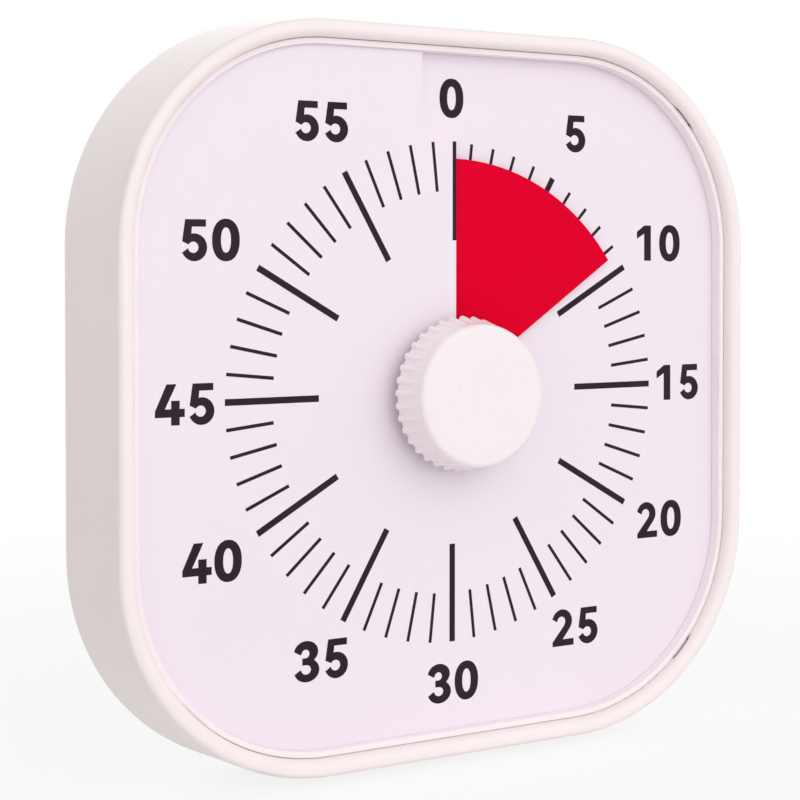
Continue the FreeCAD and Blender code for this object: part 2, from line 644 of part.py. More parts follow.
def front_housing():
    body = new_body("front_housing")
    outline = new_sketch(body, "housing_outline")
    draw_square(outline, back_half, back_corner)
    pad(body, outline, body_depth, taper=draft_angle)
    doc.recompute()
    cavity = new_sketch(body, "housing_cavity")
    draw_square(cavity, back_half - wall, back_corner - wall)
    pocket(body, cavity, floor_back, forward=True, taper=draft_angle)
    shrink = floor_back * tangent(draft_angle)
    step = new_sketch(body, "housing_step", depth=floor_back)
    draw_square(step, back_half - wall - shrink, back_corner - wall - shrink)
    draw_circle(step, well_radius + well_wall)
    pocket(body, step, seat_back - floor_back, forward=True)
    recess = new_sketch(body, "housing_recess", depth=body_depth)
    draw_square(recess, rim_half, rim_corner)
    pocket(body, recess, body_depth - ramp_low - ramp_pitch - dial_thick)
    well = new_sketch(body, "housing_well", depth=body_depth)
    draw_circle(well, well_radius)
    pocket(body, well, body_depth - floor_front)
    nose = new_sketch(body, "housing_nose_hole", depth=body_depth)
    draw_circle(nose, nose_radius + case_fit)
    tip = pocket(body, nose, body_depth)
    front = body_depth
    shrink = (front * tangent(draft_angle)).number
    outer = back_half.number - shrink
    middle = (outer + rim_half.number) / 2

    def far(extent):
        return max(abs(extent.XMin), abs(extent.XMax), abs(extent.ZMin), abs(extent.ZMax))

    def outer_edge(extent):
        return at_depth(extent, front) and far(extent) > middle

    def inner_edge(extent):
        return at_depth(extent, front) and far(extent) < middle

    tip = fillet(body, tip, "rim_outer_round", rim_round, outer_edge)
    fillet(body, tip, "rim_inner_round", rim_inner_round, inner_edge)
    boss_length = cover_thick + pad_thick + case_fit
    raised = [body]
    holes = []
    for index, (x, z) in enumerate(corner_places(boss_across, boss_up)):
        raised.append(rod(f"boss_{index}", boss_radius, boss_length, seat_back + case_fit, x, z))
        tip_depth = screw_sink + screw_length + screw_radius
        holes.append(rod(f"boss_hole_{index}", screw_radius + screw_fit, 0, tip_depth, x, z))
    for index, (x, z) in enumerate(movement_ears()):
        post_end = ear_depth + case_fit
        raised.append(rod(f"ear_post_{index}", post_radius, post_end, ceiling(x, z) + case_fit, x, z))
        deep = ear_depth - ear_thick + small_screw_length + small_screw_radius
        holes.append(rod(f"ear_hole_{index}", small_screw_radius + screw_fit, 0, deep, x, z))
    for index, (x, z) in enumerate(board_screw_places()):
        post_end = board_back + board_thick
        raised.append(rod(f"board_post_{index}", post_radius, post_end, ceiling(x, z) + case_fit, x, z))
        deep = board_back + small_screw_length + small_screw_radius
        holes.append(rod(f"board_hole_{index}", small_screw_radius + screw_fit, 0, deep, x, z))
    solid = fuse("housing_solid", raised)
    bed = ramp_space("bed", ramp_low - dial_thick / 2 - dial_gap, ramp_pitch * 3, recess_outline)
    for index in range(4):
        holes.append(snap_slot(f"snap_slot_{index}", 45 + 90 * index))
    return finish(cut("front_housing", solid, holes + bed), "front_housing")


def snap_slot(name, angle):
    """A slot in the rim's inner wall, across one of the diagonals."""
    slot = doc.addObject("Part::Box", name)
    bind(slot, Length=slot_width * 2, Width=slot_depth + slot_rise, Height=slot_length)
    turn = FreeCAD.Rotation(Vector(0, 1, 0), -angle)
    start = Vector((diagonal_reach(rim_half, rim_corner) - slot_width).number, 0, -slot_length.number / 2)
    place = turn.multVec(start)
    place.y = -(ring_front + slot_rise).number
    slot.Placement = FreeCAD.Placement(place, turn)
    return slot


# Dial ring, dial sheet and disc
def dial_ring():
    body = new_body("ring")
    height = ring_front - ramp_low + dial_thick
    outline = new_sketch(body, "ring_outline", depth=ring_front - height)
    draw_square(outline, ring_half, ring_corner)
    pad(body, outline, height)
    doc.recompute()
    hollow = new_sketch(body, "ring_hollow", depth=ring_front)
    draw_square(hollow, ring_half - ring_width, ring_corner - ring_width)
    tip = pocket(body, hollow, height)
    fillet(body, tip, "ring_front_round", ring_round, lambda extent: at_depth(extent, ring_front))
    behind = ramp_space("ring_bed", ramp_low + dial_thick / 2 + dial_gap - ramp_pitch * 3, ramp_pitch * 3)
    band = cut("ring_band", body, behind)
    tabs = [band]
    for index in range(4):
        tabs.append(snap_tab(f"snap_tab_{index}", 45 + 90 * index))
    return finish(fuse("dial_ring", tabs), "dial_ring")


def snap_tab(name, angle):
    """A tab on the ring that clicks into a snap slot."""
    tab = doc.addObject("Part::Box", name)
    bind(tab, Length=ring_width / 2 + ring_gap + slot_width - tab_gap, Width=tab_thick,
         Height=slot_length - tab_gap * 2)
    turn = FreeCAD.Rotation(Vector(0, 1, 0), -angle)
    start = Vector((diagonal_reach(ring_half, ring_corner) - ring_width / 2).number, 0,
                   -(slot_length / 2 - tab_gap).number)
    place = turn.multVec(start)
    place.y = -(ring_front - tab_sink).number
    tab.Placement = FreeCAD.Placement(place, turn)
    return tab


def dial_sheet():
    halves = ramp_space("dial", ramp_low - dial_thick / 2, dial_thick, dial_outline)
    joined = fuse("dial_joined", halves)
    hole = rod("dial_hole_tool", dial_hole, floor_back, body_depth)
    return finish(cut("dial_sheet", joined, [hole]), "dial_sheet")


def disc_parts():
    """The red film, the hub that carries it and the clamp in front of it."""
    start = set_angle - film_span
    film_depth = dial_depth - film_thick / 2
    film = ramp("film", start, set_angle, hub_radius + film_fit, film_radius, film_depth, film_thick)
    finish(film, "time_disc")
    flange_depth = film_depth - film_fit - flange_thick
    core = hub_radius / 2
    flange = ramp("hub_flange", start, set_angle, core, flange_radius, flange_depth, flange_thick)
    clamp_depth = film_depth + film_thick + film_fit
    clamp_inner = hub_radius + film_fit
    clamp = ramp("clamp", start, set_angle, clamp_inner, flange_radius, clamp_depth, clamp_thick)
    finish(clamp, "disc_clamp")
    barrel = rod("hub_barrel", hub_radius, hub_back, hub_front)
    bore = shaft_section("hub_bore", shaft_radius + shaft_fit, shaft_radius - shaft_flat + shaft_fit,
                         floor_back, body_depth)
    hub = cut("disc_hub", fuse("hub_joined", [barrel, flange]), [bore])
    finish(hub, "disc_hub")


def shaft_section(name, radius, flat_at, back, front):
    """A round bar with a flat on its upper side."""
    bar = rod(name + "_round", radius, back, front)
    span = as_size(radius) * 2
    flat = box(name + "_flat", -span, span, as_size(back) - 1, as_size(front) + 1, flat_at, span)
    return cut(name, bar, [flat])


# Shaft and knob
def drive_shaft():
    spring_room = spring_rise + spring_thick
    clip_front = case_inner_front - collar_thick - shaft_fit * 3 - wheel_thick - spring_room
    collar_front = case_inner_front - shaft_fit
    middle = rod("shaft_middle", shaft_radius, case_inner_back + shaft_fit, flat_back)
    collar = rod("shaft_collar", collar_radius, collar_front - collar_thick, collar_front)
    driven = shaft_section("shaft_driven", shaft_radius, shaft_radius - shaft_flat, flat_back, shaft_front)
    journal = rod("shaft_journal", journal_radius, case_back + shaft_fit, case_inner_back + shaft_fit)
    solid = fuse("shaft_solid", [middle, collar, driven, journal])
    outside = rod("groove_outside", shaft_radius * 2, clip_front - clip_thick, clip_front)
    inside = rod("groove_inside", shaft_radius - clip_groove,
                 clip_front - clip_thick * 2, clip_front + clip_thick)
    groove = cut("groove", outside, [inside])
    finish(cut("drive_shaft", solid, [groove]), "drive_shaft")
    ring = rod("clip_ring", clip_radius, clip_front - clip_thick + film_fit, clip_front - film_fit)
    bore = rod("clip_bore", shaft_radius - clip_groove + film_fit, case_back, floor_front)
    mouth_half = shaft_radius - clip_groove * 2
    mouth = box("clip_mouth", -mouth_half, mouth_half, case_back, floor_front, -clip_radius * 2, 0)
    finish(cut("shaft_clip", ring, [bore, mouth]), "shaft_clip")
    spring_back = clip_front + film_fit
    inner = shaft_radius + shaft_fit * 2
    profile = [
        (inner, spring_back),
        (inner, spring_back + spring_thick),
        (spring_radius, spring_back + spring_room - film_fit * 2),
        (spring_radius, spring_back + spring_room - spring_thick - film_fit * 2),
    ]
    finish(turned("clutch_spring", profile), "clutch_spring")


def knob():
    body = new_body("knob")
    sketch = new_sketch(body, "knob_profile", role="XY_Plane")
    shell_inner = knob_face_radius - knob_wall
    profile = [
        (0, knob_front),
        (knob_face_radius, knob_front),
        (knob_back_radius, knob_back),
        (knob_back_radius - knob_wall, knob_back),
        (shell_inner, knob_front - knob_wall),
        (0, knob_front - knob_wall),
    ]
    draw_polygon(sketch, [(radius, -as_size(depth)) for radius, depth in profile])
    turn = body.newObject("PartDesign::Revolution", "knob_turn")
    turn.Profile = sketch
    turn.ReferenceAxis = (sketch, ["V_Axis"])
    turn.Angle = 360
    fillet(body, turn, "knob_edge", knob_round,
           lambda extent: at_depth(extent, knob_front) and extent.XMax > shell_inner.number)
    rib_back = new_sketch(body, "rib_back", depth=knob_back)
    draw_circle(rib_back, rib_radius, 0, knob_back_radius + rib_height - rib_radius)
    rib_front = new_sketch(body, "rib_front", depth=knob_back + rib_run)
    draw_circle(rib_front, rib_radius, 0, knob_back_radius + rib_height - rib_radius - rib_slope)
    rib = body.newObject("PartDesign::AdditiveLoft", "rib")
    rib.Profile = rib_back
    rib.Sections = [rib_front]
    doc.recompute()
    ribs = body.newObject("PartDesign::PolarPattern", "ribs")
    ribs.Originals = [rib]
    ribs.Axis = (origin_plane(body, "Y_Axis"), [""])
    ribs.Angle = 360
    bind(ribs, Occurrences=rib_count)
    body.Tip = ribs
    doc.recompute()
    flat_height = shaft_radius - shaft_flat + shaft_fit
    socket = rod("socket_round", socket_radius, socket_back, knob_front - knob_wall / 2)
    webs = []
    for index in range(2):
        web = box(f"socket_web_{index}", -shell_inner - knob_wall / 2, shell_inner + knob_wall / 2,
                  socket_back + knob_wall, knob_front - knob_wall / 2, -socket_web / 2, socket_web / 2)
        if index:
            web.Placement = FreeCAD.Placement(Vector(), FreeCAD.Rotation(Vector(0, 1, 0), 90))
            move(web, -socket_web / 2, knob_front - knob_wall / 2, shell_inner + knob_wall / 2)
        webs.append(web)
    bore = shaft_section("socket_bore", shaft_radius + shaft_fit, flat_height, socket_back - 1,
                         shaft_front + shaft_fit * 2)
    solid = fuse("knob_solid", [body, socket] + webs)
    finish(cut("knob", solid, [bore]), "knob")


# Movement
def case_sketch(sketch, shrink):
    left, right = -case_left + shrink, case_right - shrink
    low, high = -case_low + shrink, case_high - shrink
    draw_rounded(sketch, left, right, low, high, case_corner - shrink)


def place_from(start, distance, bearing):
    """A point at a distance and a direction from another one."""
    angle = math.radians(bearing.number)
    return (start[0] + distance * math.cos(angle), start[1] + distance * math.sin(angle))


def arbor_places():
    """The shaft, the third arbor, the second arbor and the rotor, from the pitch circles."""
    centre = (as_size(0), as_size(0))
    first = tooth_module * (centre_teeth + pinion_teeth) / 2
    later = tooth_module * (train_teeth + pinion_teeth) / 2
    third = place_from(centre, first, third_bearing)
    second = place_from(third, later, second_bearing)
    rotor = place_from(second, later, rotor_bearing)
    return centre, third, second, rotor


def movement_case():
    block = plate("case_block", case_back + case_wall + case_fit, case_front, lambda s: case_sketch(s, 0))
    hollow = plate("case_hollow", case_back, case_inner_front, lambda s: case_sketch(s, case_wall))
    nose = rod("case_nose", nose_radius, case_inner_front, floor_front - case_fit)
    shaft_hole = rod("case_shaft_hole", shaft_radius + shaft_fit, case_back, body_depth)
    solids = [block, nose]
    holes = [hollow, shaft_hole]
    for index, (x, z) in enumerate(movement_ears()):
        solids.append(rod(f"ear_{index}", ear_radius, ear_depth - ear_thick, ear_depth, x, z))
        if x.number < 0:
            left, right = x, -case_left + case_wall
        else:
            left, right = case_right - case_wall, x
        solids.append(box(f"ear_arm_{index}", left, right, ear_depth - ear_thick, ear_depth,
                          z - ear_radius, z + ear_radius))
        holes.append(rod(f"ear_bore_{index}", small_screw_radius + screw_fit, case_back, floor_front, x, z))
    for index, (x, z) in enumerate(arbor_places()[1:]):
        stop = case_inner_front + pivot_length + film_fit
        holes.append(rod(f"case_pivot_{index}", pivot_radius + film_fit, case_back, stop, x, z))
    finish(cut("movement_case", fuse("case_solid", solids), holes), "movement_case")


def movement_cover():
    lid = plate("lid_block", case_back, case_inner_back, lambda s: case_sketch(s, 0))
    rim_low, rim_high = case_inner_back - case_fit, case_inner_back + case_wall
    step = plate("lid_step", rim_low, rim_high, lambda s: case_sketch(s, case_wall + case_fit))
    step_hole = plate("lid_step_hole", rim_low - case_wall, rim_high + case_wall,
                      lambda s: case_sketch(s, case_wall * 2 + case_fit))
    lip = cut("lid_lip", step, [step_hole])
    holes = [rod("lid_journal_hole", journal_radius + shaft_fit, 0, floor_front)]
    bushes = [lid, lip]
    for index, (x, z) in enumerate(arbor_places()[1:]):
        start = case_inner_back - pivot_length
        holes.append(rod(f"lid_pivot_{index}", pivot_radius + film_fit, start, floor_front, x, z))
        bushes.append(rod(f"lid_bush_{index}", arbor_radius * 2, case_inner_back - case_fit,
                          arbor_back(index), x, z))
    keep = cut("lid_with_holes", fuse("lid_solid", bushes), holes)
    finish(keep, "movement_cover")


def arbor_back(index):
    """Depth where each arbor's rear pivot begins."""
    return (third_plane - wheel_thick, second_plane - wheel_thick / 2, second_plane - wheel_thick / 2)[index]


def tooth_profile(teeth, tip_height, root_depth):
    """Half of one tooth as (radius, half angle), from its root to its tip."""
    pressure = math.radians(tooth_angle.number)
    pitch_radius = tooth_module.number * teeth / 2
    base = pitch_radius * math.cos(pressure)
    tip = pitch_radius + tip_height.number
    root = pitch_radius - root_depth.number
    half_at_pitch = math.pi / (2 * teeth) - tooth_slack.number / (2 * pitch_radius)

    def involute(angle):
        return math.tan(angle) - angle

    def half_angle(radius):
        steep = math.acos(min(1.0, base / radius))
        return half_at_pitch + involute(pressure) - involute(steep)

    start = max(root, base)
    steps = 4
    flank = [(start + (tip - start) * k / steps) for k in range(steps + 1)]
    points = [(radius, half_angle(radius)) for radius in flank]
    if root < base:
        points.insert(0, (root, points[0][1]))
    return points


def gear(name, teeth, phase, back, front, place, is_pinion=False):
    """A toothed disc whose first tooth points along an angle phase, in radians from X."""
    count = int(teeth.number)
    heights = (pinion_tip, pinion_root) if is_pinion else (wheel_tip, wheel_root)
    flank = tooth_profile(count, *heights)
    points = []
    for index in range(count):
        middle = phase + 2 * math.pi * index / count
        for radius, half in flank:
            points.append((radius, middle - half))
        for radius, half in reversed(flank):
            points.append((radius, middle + half))
    depth = as_size(back).number
    ring = [Vector(r * math.cos(a), -depth, r * math.sin(a)) for r, a in points]
    face = Part.Face(Part.makePolygon(ring + ring[:1]))
    solid = doc.addObject("Part::Feature", name)
    solid.Shape = face.extrude(Vector(0, -(as_size(front) - back).number, 0))
    solid.Placement = FreeCAD.Placement(Vector(place[0].number, 0, place[1].number), FreeCAD.Rotation())
    return solid


def phase_in_mesh(bearing, phase, teeth, follower_teeth):
    """The follower's phase that puts one of its gaps on a tooth of the wheel that drives it."""
    pitch = 2 * math.pi / teeth.number
    direction = math.radians(bearing.number)
    share = ((direction - phase) / pitch) % 1
    return direction + math.pi + (share - 0.5) * 2 * math.pi / follower_teeth.number


def wheel_with_pinion(name, place, wheel_phase, pinion_phase, wheel_back, pinion_back, pinion_front, rear):
    """A wheel and a pinion on one arbor with a pivot at each end."""
    x, z = place
    front_end = case_inner_front - film_fit * 2
    parts = [
        gear(name + "_pinion", pinion_teeth, pinion_phase, pinion_back, pinion_front, place, is_pinion=True),
        rod(name + "_spindle", arbor_radius, rear + film_fit * 2, front_end, x, z),
        rod(name + "_front_pivot", pivot_radius, front_end, front_end + pivot_length, x, z),
        rod(name + "_rear_pivot", pivot_radius, rear + film_fit * 2 - pivot_length,
            rear + film_fit * 2, x, z),
    ]
    if wheel_back is not None:
        wheel_front = wheel_back + wheel_thick
        parts.append(gear(name + "_toothed", train_teeth, wheel_phase, wheel_back, wheel_front, place))
    return parts


def wheel_train():
    centre, third, second, rotor = arbor_places()
    wheel_front = case_inner_front - shaft_fit * 2 - collar_thick
    wheel_back = wheel_front - wheel_thick
    blank = gear("centre_blank", centre_teeth, 0, wheel_back, wheel_front, centre)
    bore = rod("centre_bore", shaft_radius + shaft_fit, case_back, floor_front)
    finish(cut("centre_wheel", blank, [bore]), "centre_wheel")
    third_pinion = phase_in_mesh(third_bearing, 0, centre_teeth, pinion_teeth)
    parts = wheel_with_pinion("third", third, 0, third_pinion, third_plane,
                              third_plane + wheel_thick, case_inner_front - collar_thick / 2, arbor_back(0))
    finish(fuse("third_wheel", parts), "third_wheel")
    second_pinion = phase_in_mesh(second_bearing, 0, train_teeth, pinion_teeth)
    parts = wheel_with_pinion("second", second, 0, second_pinion, second_plane,
                              second_plane + wheel_thick, third_plane + wheel_thick * 3 / 2, arbor_back(1))
    finish(fuse("second_wheel", parts), "second_wheel")
    rotor_pinion = phase_in_mesh(rotor_bearing, 0, train_teeth, pinion_teeth)
    parts = wheel_with_pinion("rotor_gear", rotor, 0, rotor_pinion, None,
                              second_plane - film_fit, second_plane + wheel_thick * 3 / 2, arbor_back(2))
    finish(fuse("rotor_arbor", parts), "rotor_arbor")
    magnet = rod("rotor_magnet_disc", magnet_rotor_radius, stator_back - wheel_thick / 2,
                 stator_back + stator_thick + wheel_thick / 2, *rotor)
    hole = rod("rotor_magnet_bore", arbor_radius + film_fit, case_back, floor_front, *rotor)
    finish(cut("rotor_magnet", magnet, [hole]), "rotor_magnet")


def motor():
    """The stator plate around the rotor's magnet, and the coil on its core below."""
    rotor = arbor_places()[3]
    left, right = rotor[0] - stator_left, rotor[0] + stator_right
    low, high = rotor[1] - stator_half, rotor[1] + stator_half
    bar = box("stator_bar", left, right, stator_back, stator_back + stator_thick, low, high)
    feet = []
    for index, x in enumerate((left, right - stator_left)):
        feet.append(box(f"stator_foot_{index}", x, x + stator_left, stator_back, stator_back + stator_thick,
                        rotor[1] - coil_drop - core_half * 2, low + stator_thick))
    hole = rod("stator_opening", stator_hole, case_back, floor_front, *rotor)
    finish(cut("stator_plate", fuse("stator_solid", [bar] + feet), [hole]), "stator_plate")
    axis_z = rotor[1] - coil_drop
    core_front = stator_back - film_fit
    core = box("core_bar", left, right, core_front - stator_thick, core_front,
               axis_z - core_half, axis_z + core_half)
    finish(core, "coil_core")
    middle = (left + right) / 2
    start, end = middle - coil_length / 2, middle + coil_length / 2
    depth = core_front - stator_thick / 2
    spool = cross_rod("spool_core", spool_radius, start, end, depth, axis_z)
    flanges = []
    for index, x in enumerate((start, end - flange_width)):
        flanges.append(cross_rod(f"spool_flange_{index}", coil_radius + film_fit, x, x + flange_width,
                                 depth, axis_z))
    room = box("spool_room", left, right, core_front - stator_thick - film_fit, core_front + film_fit,
               axis_z - core_half - film_fit, axis_z + core_half + film_fit)
    finish(cut("coil_spool", fuse("spool_solid", [spool] + flanges), [room]), "coil_spool")
    winding = cross_rod("winding_round", coil_radius, start + flange_width, end - flange_width, depth, axis_z)
    inside = cross_rod("winding_inside", spool_radius, left, right, depth, axis_z)
    finish(cut("motor_coil", winding, [inside]), "motor_coil")


# Screws
def screw(name, x, z, head_back, head_radius, head_height, radius, length):
    """A pan-head screw driven from behind, with a cross in its head and a pointed end."""
    under = head_back + head_height
    profile = [
        (0, head_back),
        (head_radius - head_bevel, head_back),
        (head_radius, head_back + head_bevel),
        (head_radius, under),
        (radius, under),
        (radius, under + length - radius),
        (point_radius, under + length),
        (0, under + length),
    ]
    body = turned(name, profile, x, z)
    arm = head_radius - drive_margin
    bars = []
    for index, (across, up) in enumerate(((arm, drive_half), (drive_half, arm))):
        bars.append(box(f"{name}_cross_{index}", x - across, x + across, head_back - head_height,
                        under - drive_floor, z - up, z + up))
    return cut(name + "_driven", body, bars)


def screws():
    cover = []
    for index, (x, z) in enumerate(corner_places(boss_across, boss_up)):
        cover.append(screw(f"cover_screw_{index}", x, z, screw_sink - screw_head_height, screw_head_radius,
                           screw_head_height, screw_radius, screw_length))
    finish(group("cover_screws", cover), "cover_screws")
    movement = []
    for index, (x, z) in enumerate(movement_ears()):
        movement.append(screw(f"movement_screw_{index}", x, z, ear_depth - ear_thick - small_head_height,
                              small_head_radius, small_head_height, small_screw_radius, small_screw_length))
    finish(group("movement_screws", movement), "movement_screws")
    board = []
    for index, (x, z) in enumerate(board_screw_places()):
        board.append(screw(f"board_screw_{index}", x, z, board_back - small_head_height, small_head_radius,
                           small_head_height, small_screw_radius, small_screw_length))
    finish(group("board_screws", board), "board_screws")


# Rear cover, magnets and stand
def switch_place():
    return (board_left + board_right) / 2


def rear_cover():
    flat = plate("cover_plate", 0, cover_thick, lambda s: draw_square(s, cover_half, cover_corner))
    stand_wall = stand_half + stand_gap + stand_skin
    pocket_depth = stand_thick + stand_gap
    stand_top = -stand_pivot + stand_thick / 2 + stand_gap
    solids = [flat]
    holes = []
    tray_depth = pocket_depth + stand_skin
    tray_low = -cover_half + tray_depth * tangent(draft_angle)
    solids.append(box("stand_tray", -stand_wall, stand_wall, 0, tray_depth, tray_low, stand_top + stand_skin))
    holes.append(box("stand_pocket", -stand_half - stand_gap, stand_half + stand_gap, -1, pocket_depth,
                     -back_half, stand_top))
    for side in (-1, 1):
        inner = stand_half + stand_gap
        near, far = side * inner, side * (inner + ear_block)
        left, right = (far, near) if side < 0 else (near, far)
        solids.append(box(f"pin_block_{side + 1}", left, right, 0, tray_depth,
                          -stand_pivot - ear_block / 2, -stand_pivot + ear_block / 2))
    hold = stand_half + stand_gap + pin_hold + screw_fit
    holes.append(cross_rod("pin_hole", pin_radius + screw_fit, -hold, stand_half + stand_gap + ear_block * 2,
                           stand_thick / 2 + stand_gap / 2, -stand_pivot))
    for index, (x, z) in enumerate(corner_places(magnet_place, magnet_place)):
        cup = magnet_radius + magnet_fit
        solids.append(rod(f"magnet_cup_{index}", cup + magnet_cup_wall, 0,
                          magnet_thick + magnet_cup_wall, x, z))
        holes.append(rod(f"magnet_pocket_{index}", cup, -1, magnet_thick + magnet_fit, x, z))
    for index, (x, z) in enumerate(corner_places(boss_across, boss_up)):
        solids.append(rod(f"screw_pad_{index}", pad_radius, 0, cover_thick + pad_thick, x, z))
        holes.append(rod(f"screw_recess_{index}", screw_head_radius + recess_slack, -1, screw_sink, x, z))
        holes.append(rod(f"screw_hole_{index}", screw_radius + screw_fit * 2, -1, floor_front, x, z))
    bay_top, bay_bottom = battery_height + bay_rise, battery_height - bay_rise
    solids.append(box("bay_block", -bay_half - bay_wall, bay_half + bay_wall, 0, bay_floor + bay_wall,
                      bay_bottom - bay_wall, bay_top + bay_wall))
    holes.append(box("bay_room", -bay_half, bay_half, -1, bay_floor, bay_bottom, bay_top))
    holes.append(box("door_recess", -door_half_length - door_gap, door_half_length + door_gap, -1,
                     door_thick + door_gap / 2, battery_height - door_half_height - door_gap,
                     battery_height + door_half_height + door_gap))
    lug_left = -door_half_length - lug_reach - lug_room
    lug_front = cover_thick + lug_thick + lug_room * 2
    inside = -bay_half + bay_wall
    for index, z in enumerate((battery_height - lug_place, battery_height + lug_place)):
        low, high = z - lug_half - lug_room, z + lug_half + lug_room
        holes.append(box(f"lug_slot_{index}", lug_left, inside, cover_thick, lug_front, low, high))
        holes.append(box(f"lug_mouth_{index}", -door_half_length, inside, 0, lug_front, low, high))
    holes.append(rod("thumb_notch", door_half_height / 2, -1, door_thick - door_gap,
                     door_half_length + door_gap, battery_height))
    middle = switch_place()
    slot_half = slider_half + slider_travel + slider_gap
    holes.append(box("switch_slot", middle - slot_half, middle + slot_half, -1, floor_front,
                     -slider_width - slider_gap, slider_width + slider_gap))
    ring_radius = buzzer_radius + magnet_fit + buzzer_wall
    solids.append(rod("buzzer_wall_round", ring_radius, 0, cover_thick + buzzer_thick / 2, -buzzer_place))
    holes.append(rod("buzzer_room", buzzer_radius + magnet_fit, cover_thick, floor_front, -buzzer_place))
    holes.append(rod("sound_hole_centre", sound_radius, -1, floor_front, -buzzer_place))
    count = int(sound_count.number)
    for index in range(count):
        angle = 2 * math.pi * index / count
        holes.append(rod(f"sound_hole_{index}", sound_radius, -1, floor_front,
                         -buzzer_place + sound_circle * math.cos(angle), sound_circle * math.sin(angle)))
    finish(cut("rear_cover", fuse("cover_solid", solids), holes), "rear_cover")


def magnets():
    items = [rod(f"magnet_{index}", magnet_radius, 0, magnet_thick, x, z)
             for index, (x, z) in enumerate(corner_places(magnet_place, magnet_place))]
    finish(group("board_magnets", items), "board_magnets")


def stand():
    """The leg that folds out of the back, turning on a steel pin."""
    back = stand_gap / 2
    front = back + stand_thick
    depth = back + stand_thick / 2
    leaf = box("stand_leaf", -stand_half, stand_half, back, front, -stand_tip, -stand_pivot)
    knuckle = cross_rod("stand_knuckle", stand_thick / 2, -stand_half, stand_half, depth, -stand_pivot)
    pin_bore = cross_rod("stand_bore", pin_radius + shaft_fit, -reach, reach, depth, -stand_pivot)
    window = box("stand_window", -stand_window_half, stand_window_half, -1, front + 1,
                 -stand_tip + stand_window_edge, -stand_pivot - stand_window_edge)
    finish(cut("stand_leg", fuse("stand_solid", [leaf, knuckle]), [pin_bore, window]), "stand_leg")
    hold = stand_half + stand_gap + pin_hold
    finish(cross_rod("hinge_pin", pin_radius, -hold, hold, depth, -stand_pivot), "hinge_pin")


# Power and electronics
def battery():
    start = -battery_length / 2
    can = cross_rod("battery_can", battery_radius, start, -start, battery_depth, battery_height)
    nub = cross_rod("battery_nub", nub_radius, -start, -start + nub_length, battery_depth, battery_height)
    finish(fuse("battery", [can, nub]), "battery")
    left, right = -bay_half + film_fit, bay_half - film_fit
    low, high = battery_height - contact_half, battery_height + contact_half
    back, front = battery_depth - contact_half, battery_depth + contact_half
    positive = box("contact_plate", right - contact_thick, right, back, front, low, high)
    dimple_start = -start + nub_length + film_fit
    dimple = cross_rod("contact_dimple", nub_radius / 2, dimple_start, right - film_fit,
                       battery_depth, battery_height)
    finish(fuse("positive_contact", [positive, dimple]), "positive_contact")
    negative = box("contact_base", left, left + contact_thick, back, front, low, high)
    coil_start = left + contact_thick + spring_wire / 2
    coil_end = start - spring_wire - film_fit
    helix = doc.addObject("Part::Helix", "contact_helix")
    bind(helix, Radius=spring_coil, Pitch=(coil_end - coil_start) / spring_turns,
         Height=coil_end - coil_start)
    turn = FreeCAD.Rotation(Vector(0, 1, 0), 90)
    helix.Placement = FreeCAD.Placement(Vector(), turn)
    move(helix, coil_start, battery_depth, battery_height)
    wire = doc.addObject("Part::Circle", "contact_wire")
    bind(wire, Radius=spring_wire)
    wire.Placement = FreeCAD.Placement(Vector(), FreeCAD.Rotation(Vector(1, 0, 0), 90))
    move(wire, coil_start, battery_depth, battery_height - spring_coil)
    sweep = doc.addObject("Part::Sweep", "contact_coil")
    sweep.Sections = [wire]
    sweep.Spine = (helix, ["Edge1"])
    sweep.Solid = True
    sweep.Frenet = True
    finish(fuse("negative_spring", [negative, sweep]), "negative_spring")


def battery_door():
    left, right = -door_half_length, door_half_length
    low, high = battery_height - door_half_height, battery_height + door_half_height
    corner = door_gap * 2
    lid = plate("door_plate", 0, door_thick, lambda s: draw_rounded(s, left, right, low, high, corner))
    parts = [lid]
    hook_back = cover_thick + lug_room / 2
    for index, z in enumerate((battery_height - lug_place, battery_height + lug_place)):
        parts.append(box(f"lug_stem_{index}", left + door_gap, -bay_half - door_gap, door_thick / 2,
                         hook_back + lug_thick, z - lug_half, z + lug_half))
        parts.append(box(f"lug_hook_{index}", left - lug_reach, -bay_half - door_gap, hook_back,
                         hook_back + lug_thick, z - lug_half, z + lug_half))
    finish(fuse("battery_door", parts), "battery_door")


def electronics():
    front = board_back + board_thick - case_fit
    sheet_board = box("board_sheet", board_left, board_right, board_back, front, -board_half, board_half)
    holes = [rod(f"board_bore_{index}", small_screw_radius + screw_fit, 0, floor_front, x, z)
             for index, (x, z) in enumerate(board_screw_places())]
    finish(cut("circuit_board", sheet_board, holes), "circuit_board")
    middle = switch_place()
    half = chip_side / 2
    chip = box("chip", middle - half, middle + half, front, front + chip_thick,
               chip_lift - half, chip_lift + half)
    finish(chip, "controller_chip")
    finish(cross_rod("crystal", crystal_radius, middle - crystal_length / 2, middle + crystal_length / 2,
                     front + crystal_radius, -crystal_drop), "quartz_crystal")
    shell = box("switch_shell", middle - switch_half, middle + switch_half, switch_back, board_back,
                -switch_width, switch_width)
    run = slider_half + slider_travel + slider_gap
    room_front = switch_back + slider_root + slider_gap
    room = box("switch_room", middle - run, middle + run, 0, room_front,
               -slider_width - slider_gap, slider_width + slider_gap)
    finish(cut("switch_body", shell, [room]), "switch_body")
    finish(box("slider", middle - slider_half, middle + slider_half, slider_back, switch_back + slider_root,
               -slider_width, slider_width), "alarm_slider")
    can = rod("buzzer_can", buzzer_radius, cover_thick + film_fit, cover_thick + film_fit + buzzer_thick,
              -buzzer_place)
    mouth = rod("buzzer_mouth", sound_circle + sound_radius, cover_thick, cover_thick + buzzer_thick / 2,
                -buzzer_place)
    finish(cut("buzzer", can, [mouth]), "buzzer")


